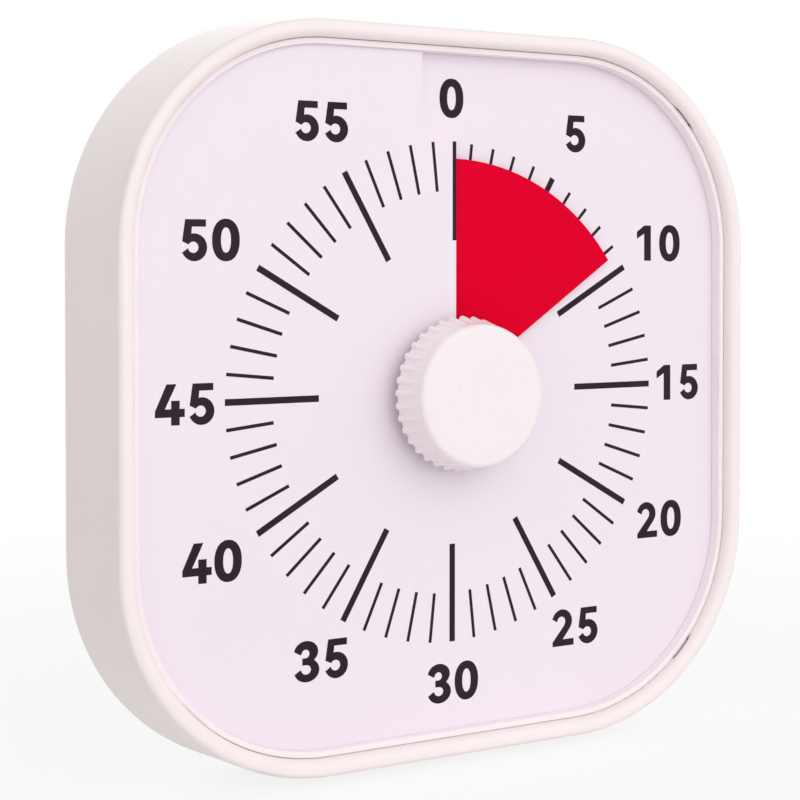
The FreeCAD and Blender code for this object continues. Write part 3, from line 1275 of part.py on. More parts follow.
def save_all():
    """Stop on any failed object or shape, then write each sub-part to its own file."""
    doc.recompute()
    for thing in doc.Objects:
        if "Invalid" in thing.State or "Error" in thing.State:
            raise ValueError(f"{thing.Name} failed: {thing.State}")
    for solid in produced:
        shape = solid.Shape
        if shape.isNull() or not shape.isValid() or not shape.Solids:
            raise ValueError(f"{solid.Label} has no valid solid")
        print(f"{solid.Label}: {len(shape.Solids)} solids, {shape.Volume:.1f} mm3")
    for solid in produced:
        solid.Shape.exportStep(os.path.join("parts", solid.Label + ".step"))


front_housing()
dial_ring()
dial_sheet()
disc_parts()
drive_shaft()
knob()
movement_case()
movement_cover()
wheel_train()
motor()
screws()
rear_cover()
magnets()
stand()
battery()
battery_door()
electronics()
save_all()
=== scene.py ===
# Visual countdown timer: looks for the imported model. Blender 4.5, metres, front towards -Y.
import json
import math

import bpy
import bmesh
from mathutils import Matrix, Vector


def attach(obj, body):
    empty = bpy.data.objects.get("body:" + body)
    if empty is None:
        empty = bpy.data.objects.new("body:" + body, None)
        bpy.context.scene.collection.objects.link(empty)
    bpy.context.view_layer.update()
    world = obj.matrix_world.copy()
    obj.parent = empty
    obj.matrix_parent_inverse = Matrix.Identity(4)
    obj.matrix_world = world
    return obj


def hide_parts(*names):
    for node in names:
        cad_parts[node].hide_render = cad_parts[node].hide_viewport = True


print("loading the packed model")
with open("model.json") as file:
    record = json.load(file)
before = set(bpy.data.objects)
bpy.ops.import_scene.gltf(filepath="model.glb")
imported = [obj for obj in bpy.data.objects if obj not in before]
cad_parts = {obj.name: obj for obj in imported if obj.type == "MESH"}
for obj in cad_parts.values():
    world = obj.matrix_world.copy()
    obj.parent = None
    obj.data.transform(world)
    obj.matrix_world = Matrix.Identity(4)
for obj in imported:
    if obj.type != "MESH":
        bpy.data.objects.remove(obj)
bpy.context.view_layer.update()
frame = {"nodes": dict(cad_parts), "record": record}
nodes = frame["nodes"]
scene = bpy.context.scene

mm = 0.001


def tone(red, green, blue):
    # screen colour 0-255 to the linear colour a shader wants
    linear = [(c / 12.92) if c <= 0.04045 else ((c + 0.055) / 1.055) ** 2.4
              for c in (red / 255, green / 255, blue / 255)]
    return (*linear, 1.0)


# camera, where the photographer stood
view = {
    "eye": (-0.2501, -0.4258, 0.0351),
    "towards": (0.50382, 0.86350, -0.02325),
    "lens": 78.71,
    "shift": -0.1211,
    "sensor": 36,
    "nearest": 0.01,
}
cameraData = bpy.data.cameras.new("photoCamera")
cameraData.lens = view["lens"]
cameraData.sensor_width = view["sensor"]
cameraData.shift_y = view["shift"]
cameraData.clip_start = view["nearest"]
camera = bpy.data.objects.new("photoCamera", cameraData)
camera.location = view["eye"]
camera.rotation_euler = Vector(view["towards"]).to_track_quat("-Z", "Y").to_euler()
scene.collection.objects.link(camera)
scene.camera = camera
scene.view_settings.view_transform = "Standard"


# finishes
noiseSpan = {"low": 0.3, "high": 0.7}  # a noise keeps mostly between these


def newFinish(name):
    material = bpy.data.materials.new(name)
    material.use_nodes = True
    tree = material.node_tree
    tree.nodes.clear()
    output = tree.nodes.new("ShaderNodeOutputMaterial")
    shader = tree.nodes.new("ShaderNodeBsdfPrincipled")
    tree.links.new(shader.outputs["BSDF"], output.inputs["Surface"])
    return material, tree, shader


def noiseOf(tree, scale, detail=2.0, stretch=(1, 1, 1)):
    place = tree.nodes.new("ShaderNodeTexCoord")
    mapping = tree.nodes.new("ShaderNodeMapping")
    mapping.inputs["Scale"].default_value = stretch
    noise = tree.nodes.new("ShaderNodeTexNoise")
    noise.inputs["Scale"].default_value = scale
    noise.inputs["Detail"].default_value = detail
    tree.links.new(place.outputs["Object"], mapping.inputs["Vector"])
    tree.links.new(mapping.outputs["Vector"], noise.inputs["Vector"])
    return noise.outputs["Fac"]


def ranged(tree, value, given, wanted, interpolation="LINEAR"):
    # carries a value from one range to another
    node = tree.nodes.new("ShaderNodeMapRange")
    node.interpolation_type = interpolation
    node.inputs["From Min"].default_value, node.inputs["From Max"].default_value = given
    node.inputs["To Min"].default_value, node.inputs["To Max"].default_value = wanted
    tree.links.new(value, node.inputs["Value"])
    return node.outputs["Result"]


def between(tree, factor, low, high):
    return ranged(tree, factor, (noiseSpan["low"], noiseSpan["high"]), (low, high))


def blendOf(tree, factor, first, second):
    mix = tree.nodes.new("ShaderNodeMix")
    mix.data_type = "RGBA"
    mix.inputs[6].default_value = first  # colour A
    mix.inputs[7].default_value = second  # colour B
    tree.links.new(between(tree, factor, 0, 1), mix.inputs["Factor"])
    return mix.outputs[2]  # the colour result


def grainOn(tree, shader, height, distance):
    bump = tree.nodes.new("ShaderNodeBump")
    bump.inputs["Strength"].default_value = 1
    bump.inputs["Distance"].default_value = distance
    tree.links.new(height, bump.inputs["Height"])
    tree.links.new(bump.outputs["Normal"], shader.inputs["Normal"])


def mouldedPlastic(name, light, dark, gloss=(0.3, 0.38), grain=900, depth=0.000002, cloudiness=14,
                   sheen=0.4):
    # colour drifts a little over the moulding; spark-eroded grain on top
    material, tree, shader = newFinish(name)
    shader.inputs["Specular IOR Level"].default_value = sheen
    cloud = noiseOf(tree, cloudiness, 3)
    fine = noiseOf(tree, grain, 4)
    tree.links.new(blendOf(tree, cloud, light, dark), shader.inputs["Base Color"])
    tree.links.new(between(tree, fine, *gloss), shader.inputs["Roughness"])
    grainOn(tree, shader, fine, depth)
    return material


def metal(name, light, dark, gloss=(0.22, 0.36), stretch=(1, 1, 1), grain=500, depth=0.000006):
    material, tree, shader = newFinish(name)
    shader.inputs["Metallic"].default_value = 1
    brushed = noiseOf(tree, grain, 3, stretch)
    tree.links.new(blendOf(tree, brushed, light, dark), shader.inputs["Base Color"])
    tree.links.new(between(tree, brushed, *gloss), shader.inputs["Roughness"])
    grainOn(tree, shader, brushed, depth)
    return material


print("mixing the finishes")
shellWhite = mouldedPlastic("shell_white_plastic", tone(252, 241, 240), tone(250, 239, 238),
                            (0.36, 0.46), 1100)
ringWhite = mouldedPlastic("ring_white_plastic", tone(253, 243, 246), tone(251, 241, 244), (0.3, 0.4))
knobWhite = mouldedPlastic("knob_white_plastic", tone(252, 242, 245), tone(250, 240, 243),
                           (0.26, 0.32), 1100, 0.0000003, 20)
dialPrint = mouldedPlastic("dial_sheet_print", tone(246, 235, 244), tone(244, 233, 243),
                           (0.42, 0.52), 2400, 0.000001, 10, 0.2)
inkBlack = mouldedPlastic("dial_ink", tone(40, 27, 37), tone(46, 33, 43),
                          (0.34, 0.44), 1800, 0.000001, 60, 0.12)
redFilm = mouldedPlastic("red_film_finish", tone(231, 0, 46), tone(226, 0, 43),
                         (0.36, 0.44), 1600, 0.000001, 16, 0.02)
naturalPlastic = mouldedPlastic("natural_acetal", tone(232, 230, 222), tone(222, 220, 210), (0.4, 0.5))
greyPlastic = mouldedPlastic("grey_plastic", tone(150, 152, 154), tone(138, 140, 143), (0.42, 0.55))
blackPlastic = mouldedPlastic("black_plastic", tone(30, 31, 33), tone(40, 41, 44), (0.4, 0.55))
steel = metal("spring_steel", tone(196, 196, 194), tone(176, 177, 178))
screwSteel = metal("screw_steel", tone(188, 188, 186), tone(160, 161, 162), (0.25, 0.4))
softIron = metal("soft_iron", tone(150, 148, 146), tone(128, 126, 124), (0.35, 0.5))
magnetPlating = metal("magnet_plating", tone(196, 195, 192), tone(180, 179, 176), (0.38, 0.5), (1, 1, 1), 260)
copperWire = metal("copper_wire", tone(196, 112, 66), tone(170, 88, 48),
                   (0.25, 0.35), (12, 1, 1), 900, 0.00004)
boardGreen = mouldedPlastic("board_green", tone(34, 96, 58), tone(26, 82, 48), (0.28, 0.4), 1300, 0.00001)
batteryJacket = mouldedPlastic("battery_jacket", tone(58, 60, 64), tone(46, 48, 52), (0.2, 0.3))

finishes = {
    "shell_white": shellWhite, "ring_white": ringWhite, "dial_print": dialPrint, "red_film": redFilm,
    "knob_white": knobWhite, "natural_plastic": naturalPlastic, "grey_plastic": greyPlastic,
    "black_plastic": blackPlastic, "steel": steel, "screw_steel": screwSteel, "soft_iron": softIron,
    "copper_wire": copperWire, "magnet_plating": magnetPlating, "board_green": boardGreen,
    "battery_jacket": batteryJacket,
}

bodyOf = {}
for bodyName, members in frame["record"]["behaviour"]["bodies"].items():
    for member in members:
        bodyOf[member] = bodyName
slotOf = {entry["node"]: entry["material_slot"] for entry in frame["record"]["subparts"]}


def show(mesh, name, body, slotName, finish, *stoodFor):
    piece = bpy.data.objects.new(name, mesh)
    scene.collection.objects.link(piece)
    mesh.materials.clear()
    mesh.materials.append(finish)
    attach(piece, body)
    if stoodFor:
        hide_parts(*stoodFor)
    return piece


# every CAD solid, with its loose triangles joined and its round faces smooth
smoothing = {"weld": 0.000002, "flat": math.radians(0.05), "crease": math.radians(32),
             "evenness": 80}


def smoothCopy(node):
    mesh = nodes[node].data.copy()
    mesh.name = node + "_smooth"
    work = bmesh.new()
    work.from_mesh(mesh)
    bmesh.ops.remove_doubles(work, verts=work.verts, dist=smoothing["weld"])
    bmesh.ops.dissolve_degenerate(work, edges=work.edges, dist=smoothing["weld"])
    bmesh.ops.dissolve_limit(work, angle_limit=smoothing["flat"], verts=work.verts, edges=work.edges,
                             use_dissolve_boundaries=False)
    work.to_mesh(mesh)
    work.free()
    for polygon in mesh.polygons:
        polygon.use_smooth = True
    mesh.set_sharp_from_angle(angle=smoothing["crease"])
    slotName = slotOf[node]
    piece = show(mesh, node + "_visual", bodyOf[node], slotName, finishes[slotName], node)
    evening = piece.modifiers.new("evenShading", "WEIGHTED_NORMAL")
    evening.keep_sharp = True
    evening.weight = smoothing["evenness"]


print("smoothing the solids")
rebuilt = {"knob"}
for node in sorted(nodes):
    if node not in rebuilt:
        smoothCopy(node)

# the ramp that the dial follows: one turn clockwise rises by 3 mm
ramp = {"low": 23.5, "pitch": 3.0, "sheet": 0.2, "jog": 68.3, "slit": 0.25, "jogSide": -10.3}


def rampDepth(x, z):
    turn = math.degrees(math.atan2(x, z))
    if turn < 0:
        turn += 360
    if z < ramp["jog"]:
        highSide = x < ramp["slit"] and z > 0
    else:
        highSide = x < ramp["jogSide"]
    if turn > 180 and z > 0 and not highSide:
        turn -= 360
    if turn < 180 and z > 0 and highSide:
        turn += 360
    return ramp["low"] + ramp["pitch"] * turn / 360 + ramp["sheet"]


# minute strokes, laid out by a node tree
strokes = {"count": 60, "longEvery": 5, "outer": 67.6, "shortInner": 54.3, "longInner": 41.05,
           "thin": 0.91, "thick": 1.72, "proud": 0.03, "sunk": 0.06}


def socket(tree, name, kind, value):
    item = tree.interface.new_socket(name=name, in_out="INPUT", socket_type=kind)
    if value is not None:
        item.default_value = value
    return item


def setInput(modifier, tree, name, value):
    for item in tree.interface.items_tree:
        if item.item_type == "SOCKET" and item.in_out == "INPUT" and item.name == name:
            modifier[item.identifier] = value
            return
    raise KeyError(name)


def calc(tree, operation, first, second=None, third=None):
    node = tree.nodes.new("ShaderNodeMath")
    node.operation = operation
    for index, value in enumerate((first, second, third)):
        if value is None:
            continue
        if isinstance(value, (int, float)):
            node.inputs[index].default_value = value
        else:
            tree.links.new(value, node.inputs[index])
    return node.outputs[0]


def strokeTree():
    tree = bpy.data.node_groups.new("minuteStrokes", "GeometryNodeTree")
    tree.interface.new_socket(name="Geometry", in_out="OUTPUT", socket_type="NodeSocketGeometry")
    for name in ("Outer", "ShortInner", "LongInner", "Thin", "Thick", "Proud", "Sunk", "Low", "Pitch",
                 "Slit"):
        socket(tree, name, "NodeSocketFloat", 0.0)
    socket(tree, "Count", "NodeSocketInt", strokes["count"])
    socket(tree, "Ink", "NodeSocketMaterial", None)
    given = tree.nodes.new("NodeGroupInput").outputs
    out = tree.nodes.new("NodeGroupOutput")
    points = tree.nodes.new("GeometryNodePoints")
    tree.links.new(calc(tree, "ADD", given["Count"], 1), points.inputs["Count"])
    index = tree.nodes.new("GeometryNodeInputIndex").outputs[0]
    # every fifth stroke is longer and thicker
    fifth = calc(tree, "LESS_THAN", calc(tree, "MODULO", index, strokes["longEvery"]), 0.5)
    longer = calc(tree, "SUBTRACT", given["LongInner"], given["ShortInner"])
    inner = calc(tree, "ADD", given["ShortInner"], calc(tree, "MULTIPLY", fifth, longer))
    thicker = calc(tree, "SUBTRACT", given["Thick"], given["Thin"])
    full = calc(tree, "ADD", given["Thin"], calc(tree, "MULTIPLY", fifth, thicker))
    # the slit parts the stroke at 0: its left piece comes first, its right piece last
    first = calc(tree, "LESS_THAN", index, 0.5)
    last = calc(tree, "GREATER_THAN", index, calc(tree, "SUBTRACT", given["Count"], 0.5))
    parted = calc(tree, "ADD", first, last)
    side = calc(tree, "SUBTRACT", first, last)
    whole = calc(tree, "SUBTRACT", 1, calc(tree, "MULTIPLY", parted, 0.5))
    slitShare = calc(tree, "MULTIPLY", side, given["Slit"])
    width = calc(tree, "ADD", calc(tree, "MULTIPLY", full, whole), slitShare)
    halfSlit = calc(tree, "MULTIPLY", parted, calc(tree, "MULTIPLY", given["Slit"], 0.5))
    quarter = calc(tree, "MULTIPLY", side, calc(tree, "MULTIPLY", given["Thick"], 0.25))
    aside = calc(tree, "SUBTRACT", halfSlit, quarter)
    length = calc(tree, "SUBTRACT", given["Outer"], inner)
    middle = calc(tree, "MULTIPLY", calc(tree, "ADD", given["Outer"], inner), 0.5)
    share = calc(tree, "DIVIDE", index, given["Count"])
    # left of the slit the dial is at the high end of the ramp, right of it at the low end
    onRamp = calc(tree, "ADD", share, side)
    angle = calc(tree, "MULTIPLY", share, math.tau)
    x = calc(tree, "ADD", calc(tree, "MULTIPLY", calc(tree, "SINE", angle), middle), aside)
    z = calc(tree, "MULTIPLY", calc(tree, "COSINE", angle), middle)
    thickness = calc(tree, "ADD", given["Proud"], given["Sunk"])
    surface = calc(tree, "ADD", given["Low"], calc(tree, "MULTIPLY", given["Pitch"], onRamp))
    front = calc(tree, "ADD", surface, given["Proud"])
    y = calc(tree, "MULTIPLY", calc(tree, "SUBTRACT", front, calc(tree, "MULTIPLY", thickness, 0.5)), -1)
    place = tree.nodes.new("ShaderNodeCombineXYZ")
    for value, name in ((x, "X"), (y, "Y"), (z, "Z")):
        tree.links.new(value, place.inputs[name])
    setPlace = tree.nodes.new("GeometryNodeSetPosition")
    tree.links.new(points.outputs[0], setPlace.inputs["Geometry"])
    tree.links.new(place.outputs[0], setPlace.inputs["Position"])
    cube = tree.nodes.new("GeometryNodeMeshCube")
    cube.inputs["Size"].default_value = (1, 1, 1)
    turnBy = tree.nodes.new("ShaderNodeCombineXYZ")
    tree.links.new(angle, turnBy.inputs["Y"])
    stretch = tree.nodes.new("ShaderNodeCombineXYZ")
    for value, name in ((width, "X"), (thickness, "Y"), (length, "Z")):
        tree.links.new(value, stretch.inputs[name])
    copies = tree.nodes.new("GeometryNodeInstanceOnPoints")
    tree.links.new(setPlace.outputs[0], copies.inputs["Points"])
    tree.links.new(cube.outputs["Mesh"], copies.inputs["Instance"])
    tree.links.new(turnBy.outputs[0], copies.inputs["Rotation"])
    tree.links.new(stretch.outputs[0], copies.inputs["Scale"])
    real = tree.nodes.new("GeometryNodeRealizeInstances")
    tree.links.new(copies.outputs[0], real.inputs[0])
    coat = tree.nodes.new("GeometryNodeSetMaterial")
    tree.links.new(real.outputs[0], coat.inputs["Geometry"])
    tree.links.new(given["Ink"], coat.inputs["Material"])
    tree.links.new(coat.outputs[0], out.inputs[0])
    return tree


def grown(tree, values, name):
    # run a tree once and keep its result as a plain mesh
    holder = bpy.data.objects.new("holder", bpy.data.meshes.new("holder"))
    scene.collection.objects.link(holder)
    modifier = holder.modifiers.new("grow", "NODES")
    modifier.node_group = tree
    for key, value in values.items():
        setInput(modifier, tree, key, value)
    bpy.context.view_layer.update()
    graph = bpy.context.evaluated_depsgraph_get()
    mesh = bpy.data.meshes.new_from_object(holder.evaluated_get(graph), depsgraph=graph)
    mesh.name = name
    holder.modifiers.remove(modifier)
    bpy.data.objects.remove(holder)
    return mesh


print("printing the minute strokes")
strokeMesh = grown(strokeTree(), {
    "Count": strokes["count"], "Outer": strokes["outer"] * mm, "ShortInner": strokes["shortInner"] * mm,
    "LongInner": strokes["longInner"] * mm, "Thin": strokes["thin"] * mm, "Thick": strokes["thick"] * mm,
    "Proud": strokes["proud"] * mm, "Sunk": strokes["sunk"] * mm,
    "Low": (ramp["low"] + ramp["sheet"]) * mm, "Pitch": ramp["pitch"] * mm,
    "Slit": ramp["slit"] * mm, "Ink": inkBlack,
}, "minuteStrokes")
show(strokeMesh, "minute_strokes", "housing", "dial_print", inkBlack)

# numerals, drawn as outlines on a grid of 28.66 units to the millimetre, y downwards
numerals = {"unit": 28.66, "proud": 0.03, "sunk": 0.06, "arcStep": 9, "fewestSteps": 3, "loopSteps": 56}


def arc(cx, cy, rx, ry, start, end):
    steps = max(numerals["fewestSteps"], int(abs(end - start) / numerals["arcStep"]))
    return [(cx + rx * math.cos(math.radians(start + (end - start) * k / steps)),
             cy + ry * math.sin(math.radians(start + (end - start) * k / steps))) for k in range(steps + 1)]


def roundedLoop(width, height, power):
    points = []
    for k in range(numerals["loopSteps"]):
        angle = math.tau * k / numerals["loopSteps"]
        c, s = math.cos(angle), math.sin(angle)
        points.append((math.copysign(abs(c) ** (2 / power), c) * width / 2,
                       math.copysign(abs(s) ** (2 / power), s) * height / 2))
    return points


glyphs = {
    "0": (0, [roundedLoop(217, 305, 2.2), roundedLoop(78, 182, 2.2)]),
    "1": (226, [[(227, 80), (227, 372), (157, 372), (157, 148), (82, 190), (82, 133), (160, 80)]]),
    "2": (226, [[(288, 372), (288, 318), (180, 318), (250, 233), (266, 205)] + arc(174, 173, 98, 98, 8, -166)
                + [(78, 150), (127, 176)] + arc(166, 172, 39, 39, 176, 358)
                + [(202, 192), (187, 215), (80, 335), (80, 372)]]),
    "3": (227, [[(95, 145)] + arc(195, 155, 100, 83, 192, 408) + arc(200, 292, 105, 88, -48, 163)
                + [(93, 318), (147, 285)] + arc(195, 287, 40, 35, 172, -90) + [(163, 252), (163, 200)]
                + arc(190, 168, 32, 32, 90, -165) + [(150, 175)]]),
    "4": (231.5, [[(243, 85), (155, 262), (203, 262), (203, 203), (268, 203), (268, 262), (307, 262),
                   (307, 320), (268, 320), (268, 378), (203, 378), (203, 320), (80, 320), (80, 275),
                   (168, 85)]]),
    "5": (231, [[(398, 85), (398, 137), (290, 137), (285, 190)] + arc(308, 284, 99, 99, -100, 155)
                + [(210, 325), (262, 290)] + arc(300, 284, 40, 40, 168, -150)
                + [(262, 264), (215, 242), (238, 85)]]),
}
gaps = {"10": 88, "15": 100, "20": 37, "25": 45, "30": 35, "35": 46, "40": 21, "45": 32, "50": 38, "55": 47}
places = {  # middle of each numeral, right and up from the axis in millimetres
    "0": (0.6, 79.4), "5": (41.6, 71.4), "10": (71.2, 40.7), "15": (78.2, 0.1), "20": (71.4, -39.7),
    "25": (41.2, -67.9), "30": (0.3, -78.7), "35": (-40.2, -68.0), "40": (-71.0, -39.9),
    "45": (-78.4, 0.0), "50": (-71.4, 40.7), "55": (-40.4, 71.4),
}


def wordLoops(word):
    # outlines of one numeral, centred, in millimetres with z upwards
    loops = []
    cursor = 0.0
    for index, digit in enumerate(word):
        middle, outlines = glyphs[digit]
        left = min(x for loop in outlines for x, y in loop)
        right = max(x for loop in outlines for x, y in loop)
        if index:
            cursor += gaps[word]
        loops += [[(x - left + cursor, middle - y) for x, y in loop] for loop in outlines]
        cursor += right - left
    return [[((x - cursor / 2) / numerals["unit"], z / numerals["unit"]) for x, z in loop] for loop in loops]


def numeralMesh():
    work = bmesh.new()
    for word, (cx, cz) in places.items():
        edges = []
        for loop in wordLoops(word):
            spots = [work.verts.new((x + cx, 0, z + cz)) for x, z in loop]
            edges += [work.edges.new((spots[k], spots[(k + 1) % len(spots)])) for k in range(len(spots))]
        filled = bmesh.ops.triangle_fill(work, edges=edges, use_beauty=True, normal=(0, -1, 0))
        faces = [item for item in filled["geom"] if isinstance(item, bmesh.types.BMFace)]
        front = list({corner for face in faces for corner in face.verts})
        for corner in front:
            corner.co.y = -(rampDepth(corner.co.x, corner.co.z) + numerals["proud"])
        behind = bmesh.ops.extrude_face_region(work, geom=faces)["geom"]
        for item in behind:
            if isinstance(item, bmesh.types.BMVert):
                item.co.y += numerals["proud"] + numerals["sunk"]
    bmesh.ops.scale(work, vec=(mm, mm, mm), verts=work.verts)
    bmesh.ops.recalc_face_normals(work, faces=work.faces)
    mesh = bpy.data.meshes.new("numerals")
    work.to_mesh(mesh)
    work.free()
    return mesh


print("printing the numerals")
show(numeralMesh(), "numerals", "housing", "dial_print", inkBlack)

# the knob: a turned cap with ribs set round it by a node tree
knob = {"ribs": 37, "ribRadius": 1.0, "backCentre": 19.9, "frontCentre": 18.0, "back": 30.2, "run": 8.5,
        "ribSteps": 14, "ribSides": 20, "tailStart": 0.88, "tailTip": 0.02, "face": 41.0,
        "faceRadius": 18.8, "faceRing": 0.5, "backRadius": 20.0, "round": 1.5, "roundSteps": 8,
        "wall": 2.0, "steps": 222, "socketRadius": 6.0, "socketBack": 32.2, "bore": 3.05,
        "boreEnd": 38.7, "boreTip": 0.02, "webs": 4, "web": 1.2, "webReach": 17.4, "webBack": 34.2,
        "weld": 0.0000001}


def knobSection():
    # half section as (radius, depth) from the middle of the face round to the middle of the inside
    lean = math.atan2(knob["backRadius"] - knob["faceRadius"], knob["face"] - knob["back"])
    section = [(0.0, knob["face"]), (knob["faceRadius"] * knob["faceRing"], knob["face"])]
    reach = knob["round"]
    # centre of the rounding, touching face and side
    sideIn = reach / math.cos(lean) - reach * math.tan(lean)
    centre = (knob["faceRadius"] - sideIn, knob["face"] - reach)
    for k in range(knob["roundSteps"] + 1):
        angle = math.radians(90) - (math.radians(90) - lean) * k / knob["roundSteps"]
        section.append((centre[0] + reach * math.cos(angle), centre[1] + reach * math.sin(angle)))
    section += [(knob["backRadius"], knob["back"]), (knob["backRadius"] - knob["wall"], knob["back"]),
                (knob["faceRadius"] - knob["wall"], knob["face"] - knob["wall"]),
                (0.0, knob["face"] - knob["wall"])]
    return section


def turnedMesh(name, section, closed=False):
    # a half section of (radius, depth) turned round the axis
    work = bmesh.new()
    rows = []
    for k in range(knob["steps"]):
        angle = math.tau * k / knob["steps"]
        rows.append([work.verts.new((r * math.sin(angle) * mm, -d * mm, r * math.cos(angle) * mm))
                     for r, d in section])
    count = len(section) if closed else len(section) - 1
    for k in range(knob["steps"]):
        here, after = rows[k], rows[(k + 1) % knob["steps"]]
        for j in range(count):
            following = (j + 1) % len(section)
            work.faces.new((here[j], here[following], after[following], after[j]))
    bmesh.ops.remove_doubles(work, verts=work.verts, dist=knob["weld"])
    bmesh.ops.dissolve_degenerate(work, edges=work.edges, dist=knob["weld"])
    bmesh.ops.recalc_face_normals(work, faces=work.faces)
    mesh = bpy.data.meshes.new(name)
    work.to_mesh(mesh)
    work.free()
    return mesh


def socketSection():
    top = knob["face"] - knob["wall"] / 2
    return [(knob["socketRadius"], knob["socketBack"]), (knob["bore"], knob["socketBack"]),
            (knob["bore"], knob["boreEnd"]), (knob["boreTip"], knob["boreEnd"]), (knob["boreTip"], top),
            (knob["socketRadius"], top)]


def webMesh():
    # plates from the socket out to the wall
    work = bmesh.new()
    inner, outer = knob["socketRadius"] - knob["web"], knob["webReach"]
    deep, top = knob["webBack"], knob["face"] - knob["wall"] / 2
    for turn in range(knob["webs"]):
        made = bmesh.ops.create_cube(work, size=1)["verts"]
        bmesh.ops.scale(work, vec=(outer - inner, top - deep, knob["web"]), verts=made)
        bmesh.ops.translate(work, vec=((outer + inner) / 2, -(top + deep) / 2, 0), verts=made)
        turned = Matrix.Rotation(math.tau * turn / knob["webs"], 3, "Y")
        bmesh.ops.rotate(work, cent=(0, 0, 0), matrix=turned, verts=made)
    bmesh.ops.scale(work, vec=(mm, mm, mm), verts=work.verts)
    mesh = bpy.data.meshes.new("knobWebs")
    work.to_mesh(mesh)
    work.free()
    return mesh


def ribTree():
    tree = bpy.data.node_groups.new("knobRibs", "GeometryNodeTree")
    tree.interface.new_socket(name="Geometry", in_out="OUTPUT", socket_type="NodeSocketGeometry")
    for name in ("BackCentre", "FrontCentre", "Back", "Run", "RibRadius"):
        socket(tree, name, "NodeSocketFloat", 0.0)
    socket(tree, "Ribs", "NodeSocketInt", knob["ribs"])
    socket(tree, "Plastic", "NodeSocketMaterial", None)
    given = tree.nodes.new("NodeGroupInput").outputs
    out = tree.nodes.new("NodeGroupOutput")

    def spot(x, y, z):
        node = tree.nodes.new("ShaderNodeCombineXYZ")
        for value, name in ((x, "X"), (y, "Y"), (z, "Z")):
            if isinstance(value, (int, float)):
                node.inputs[name].default_value = value
            else:
                tree.links.new(value, node.inputs[name])
        return node.outputs[0]

    line = tree.nodes.new("GeometryNodeCurvePrimitiveLine")
    frontDepth = calc(tree, "ADD", given["Back"], given["Run"])
    start = spot(0, calc(tree, "MULTIPLY", given["Back"], -1), given["BackCentre"])
    end = spot(0, calc(tree, "MULTIPLY", frontDepth, -1), given["FrontCentre"])
    tree.links.new(start, line.inputs["Start"])
    tree.links.new(end, line.inputs["End"])
    fine = tree.nodes.new("GeometryNodeResampleCurve")
    fine.inputs["Count"].default_value = knob["ribSteps"]
    tree.links.new(line.outputs[0], fine.inputs["Curve"])
    # the front end closes in a half round
    factor = tree.nodes.new("GeometryNodeSplineParameter").outputs["Factor"]
    past = calc(tree, "SUBTRACT", factor, knob["tailStart"])
    tail = calc(tree, "MAXIMUM", calc(tree, "DIVIDE", past, 1 - knob["tailStart"]), 0)
    left = calc(tree, "SUBTRACT", 1, calc(tree, "MULTIPLY", tail, tail))
    size = calc(tree, "SQRT", calc(tree, "MAXIMUM", left, knob["tailTip"] ** 2))
    circle = tree.nodes.new("GeometryNodeCurvePrimitiveCircle")
    circle.inputs["Resolution"].default_value = knob["ribSides"]
    tree.links.new(given["RibRadius"], circle.inputs["Radius"])
    sweep = tree.nodes.new("GeometryNodeCurveToMesh")
    sweep.inputs["Fill Caps"].default_value = True
    tree.links.new(fine.outputs[0], sweep.inputs["Curve"])
    tree.links.new(circle.outputs[0], sweep.inputs["Profile Curve"])
    tree.links.new(size, sweep.inputs["Scale"])
    ring = tree.nodes.new("GeometryNodePoints")
    tree.links.new(given["Ribs"], ring.inputs["Count"])
    index = tree.nodes.new("GeometryNodeInputIndex").outputs[0]
    angle = calc(tree, "MULTIPLY", calc(tree, "DIVIDE", index, given["Ribs"]), math.tau)
    copies = tree.nodes.new("GeometryNodeInstanceOnPoints")
    tree.links.new(ring.outputs[0], copies.inputs["Points"])
    tree.links.new(sweep.outputs[0], copies.inputs["Instance"])
    tree.links.new(spot(0, angle, 0), copies.inputs["Rotation"])
    smooth = tree.nodes.new("GeometryNodeSetShadeSmooth")
    tree.links.new(copies.outputs[0], smooth.inputs[0])
    real = tree.nodes.new("GeometryNodeRealizeInstances")
    tree.links.new(smooth.outputs[0], real.inputs[0])
    coat = tree.nodes.new("GeometryNodeSetMaterial")
    tree.links.new(real.outputs[0], coat.inputs["Geometry"])
    tree.links.new(given["Plastic"], coat.inputs["Material"])
    tree.links.new(coat.outputs[0], out.inputs[0])
    return tree


def joinMeshes(name, meshes):
    work = bmesh.new()
    for mesh in meshes:
        work.from_mesh(mesh)
    mesh = bpy.data.meshes.new(name)
    work.to_mesh(mesh)
    work.free()
    for polygon in mesh.polygons:
        polygon.use_smooth = True
    mesh.set_sharp_from_angle(angle=smoothing["crease"])
    return mesh


print("turning the knob")
ribMesh = grown(ribTree(), {
    "BackCentre": knob["backCentre"] * mm, "FrontCentre": knob["frontCentre"] * mm, "Back": knob["back"] * mm,
    "Run": knob["run"] * mm, "RibRadius": knob["ribRadius"] * mm, "Ribs": knob["ribs"], "Plastic": knobWhite,
}, "knobRibs")
knobMesh = joinMeshes("knobMoulding", [turnedMesh("knobCap", knobSection()),
                                      turnedMesh("knobSocket", socketSection(), True), webMesh(), ribMesh])
show(knobMesh, "knob_visual", bodyOf["knob"], slotOf["knob"], knobWhite, "knob")

# floor, white surround and lamps
studio = {"floorHeight": -0.1001, "floorReach": 3.0, "paper": 0.93, "frontSky": 1.02, "backSky": 0.3,
          "turnStart": -0.6, "turnEnd": 0.1, "nearShare": 0.84, "near": 0.14, "far": 0.5}


def seenDirectly(tree):
    path = tree.nodes.new("ShaderNodeLightPath").outputs
    seen = calc(tree, "MAXIMUM", path["Is Camera Ray"], path["Is Glossy Ray"])
    return calc(tree, "MAXIMUM", seen, path["Is Transmission Ray"])


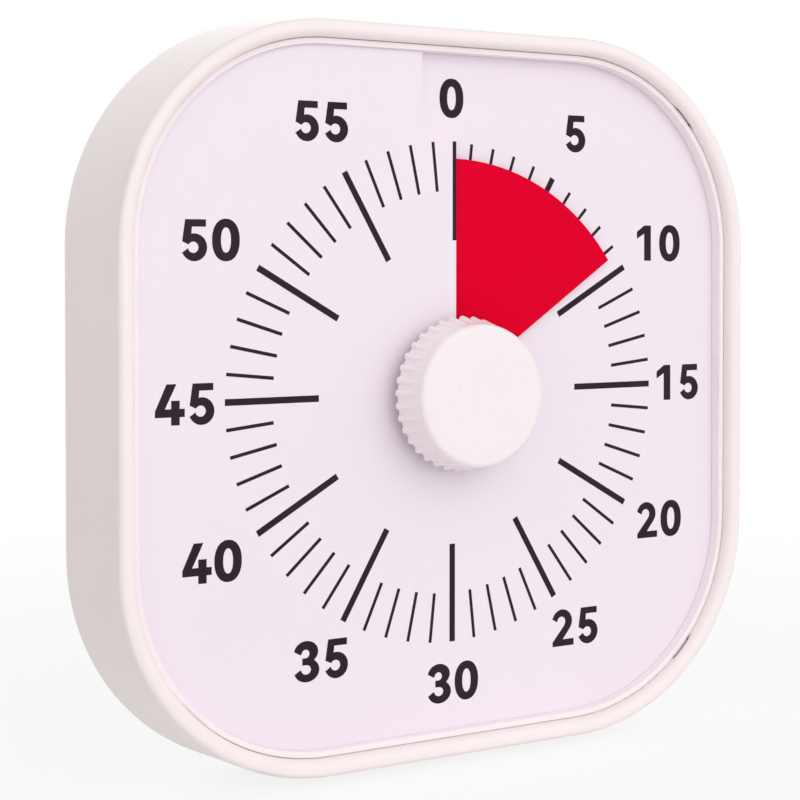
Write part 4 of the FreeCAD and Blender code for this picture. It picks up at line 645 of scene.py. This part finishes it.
def floorPaint():
    material = bpy.data.materials.new("floor_paper")
    material.use_nodes = True
    tree = material.node_tree
    tree.nodes.clear()
    output = tree.nodes.new("ShaderNodeOutputMaterial")
    paper = tree.nodes.new("ShaderNodeBsdfDiffuse")
    paper.inputs["Color"].default_value = (studio["paper"], studio["paper"], studio["paper"], 1)
    glow = tree.nodes.new("ShaderNodeEmission")
    glow.inputs["Color"].default_value = (1, 1, 1, 1)
    mix = tree.nodes.new("ShaderNodeMixShader")
    # the paper turns to plain white away from the object, so that no horizon shows
    place = tree.nodes.new("ShaderNodeTexCoord")
    away = tree.nodes.new("ShaderNodeVectorMath")
    away.operation = "LENGTH"
    tree.links.new(place.outputs["Object"], away.inputs[0])
    share = ranged(tree, away.outputs["Value"], (studio["near"], studio["far"]),
                   (studio["nearShare"], 1), "SMOOTHSTEP")
    tree.links.new(calc(tree, "MULTIPLY", seenDirectly(tree), share), mix.inputs[0])
    tree.links.new(paper.outputs[0], mix.inputs[1])
    tree.links.new(glow.outputs[0], mix.inputs[2])
    tree.links.new(mix.outputs[0], output.inputs["Surface"])
    return material


print("laying the floor and hanging the lamps")
reach, height = studio["floorReach"], studio["floorHeight"]
floorMesh = bpy.data.meshes.new("floor")
floorMesh.from_pydata([(-reach, -reach, height), (reach, -reach, height), (reach, reach, height),
                       (-reach, reach, height)], [], [(0, 1, 2, 3)])
floorMesh.materials.append(floorPaint())
floor = bpy.data.objects.new("floor", floorMesh)
scene.collection.objects.link(floor)

world = bpy.data.worlds.new("studio")
scene.world = world
world.use_nodes = True
skyTree = world.node_tree
skyTree.nodes.clear()
skyOut = skyTree.nodes.new("ShaderNodeOutputWorld")
sky = skyTree.nodes.new("ShaderNodeBackground")
sky.inputs["Color"].default_value = (1, 1, 1, 1)
# the sky is bright in front of the object and dimmer behind it
direction = skyTree.nodes.new("ShaderNodeTexCoord")
parts = skyTree.nodes.new("ShaderNodeSeparateXYZ")
skyTree.links.new(direction.outputs["Generated"], parts.inputs["Vector"])
lit = ranged(skyTree, parts.outputs["Y"], (studio["turnStart"], studio["turnEnd"]),
             (studio["frontSky"], studio["backSky"]), "SMOOTHSTEP")
level = skyTree.nodes.new("ShaderNodeMapRange")  # white where it is seen directly
skyTree.links.new(lit, level.inputs["To Min"])
skyTree.links.new(seenDirectly(skyTree), level.inputs["Value"])
skyTree.links.new(level.outputs["Result"], sky.inputs["Strength"])
skyTree.links.new(sky.outputs[0], skyOut.inputs["Surface"])

lamps = {
    "key": {"at": (0.05, -1.5, 0.6), "size": 1.6, "power": 5.2},
    "rear": {"at": (0.15, 1.5, 0.5), "size": 2.4, "power": 13.5},
}
for name, lamp in lamps.items():
    data = bpy.data.lights.new(name, "AREA")
    data.shape = "DISK"
    data.size = lamp["size"]
    data.energy = lamp["power"]
    light = bpy.data.objects.new(name, data)
    light.location = lamp["at"]
    light.rotation_euler = (-Vector(lamp["at"])).to_track_quat("-Z", "Y").to_euler()
    scene.collection.objects.link(light)

print("done")
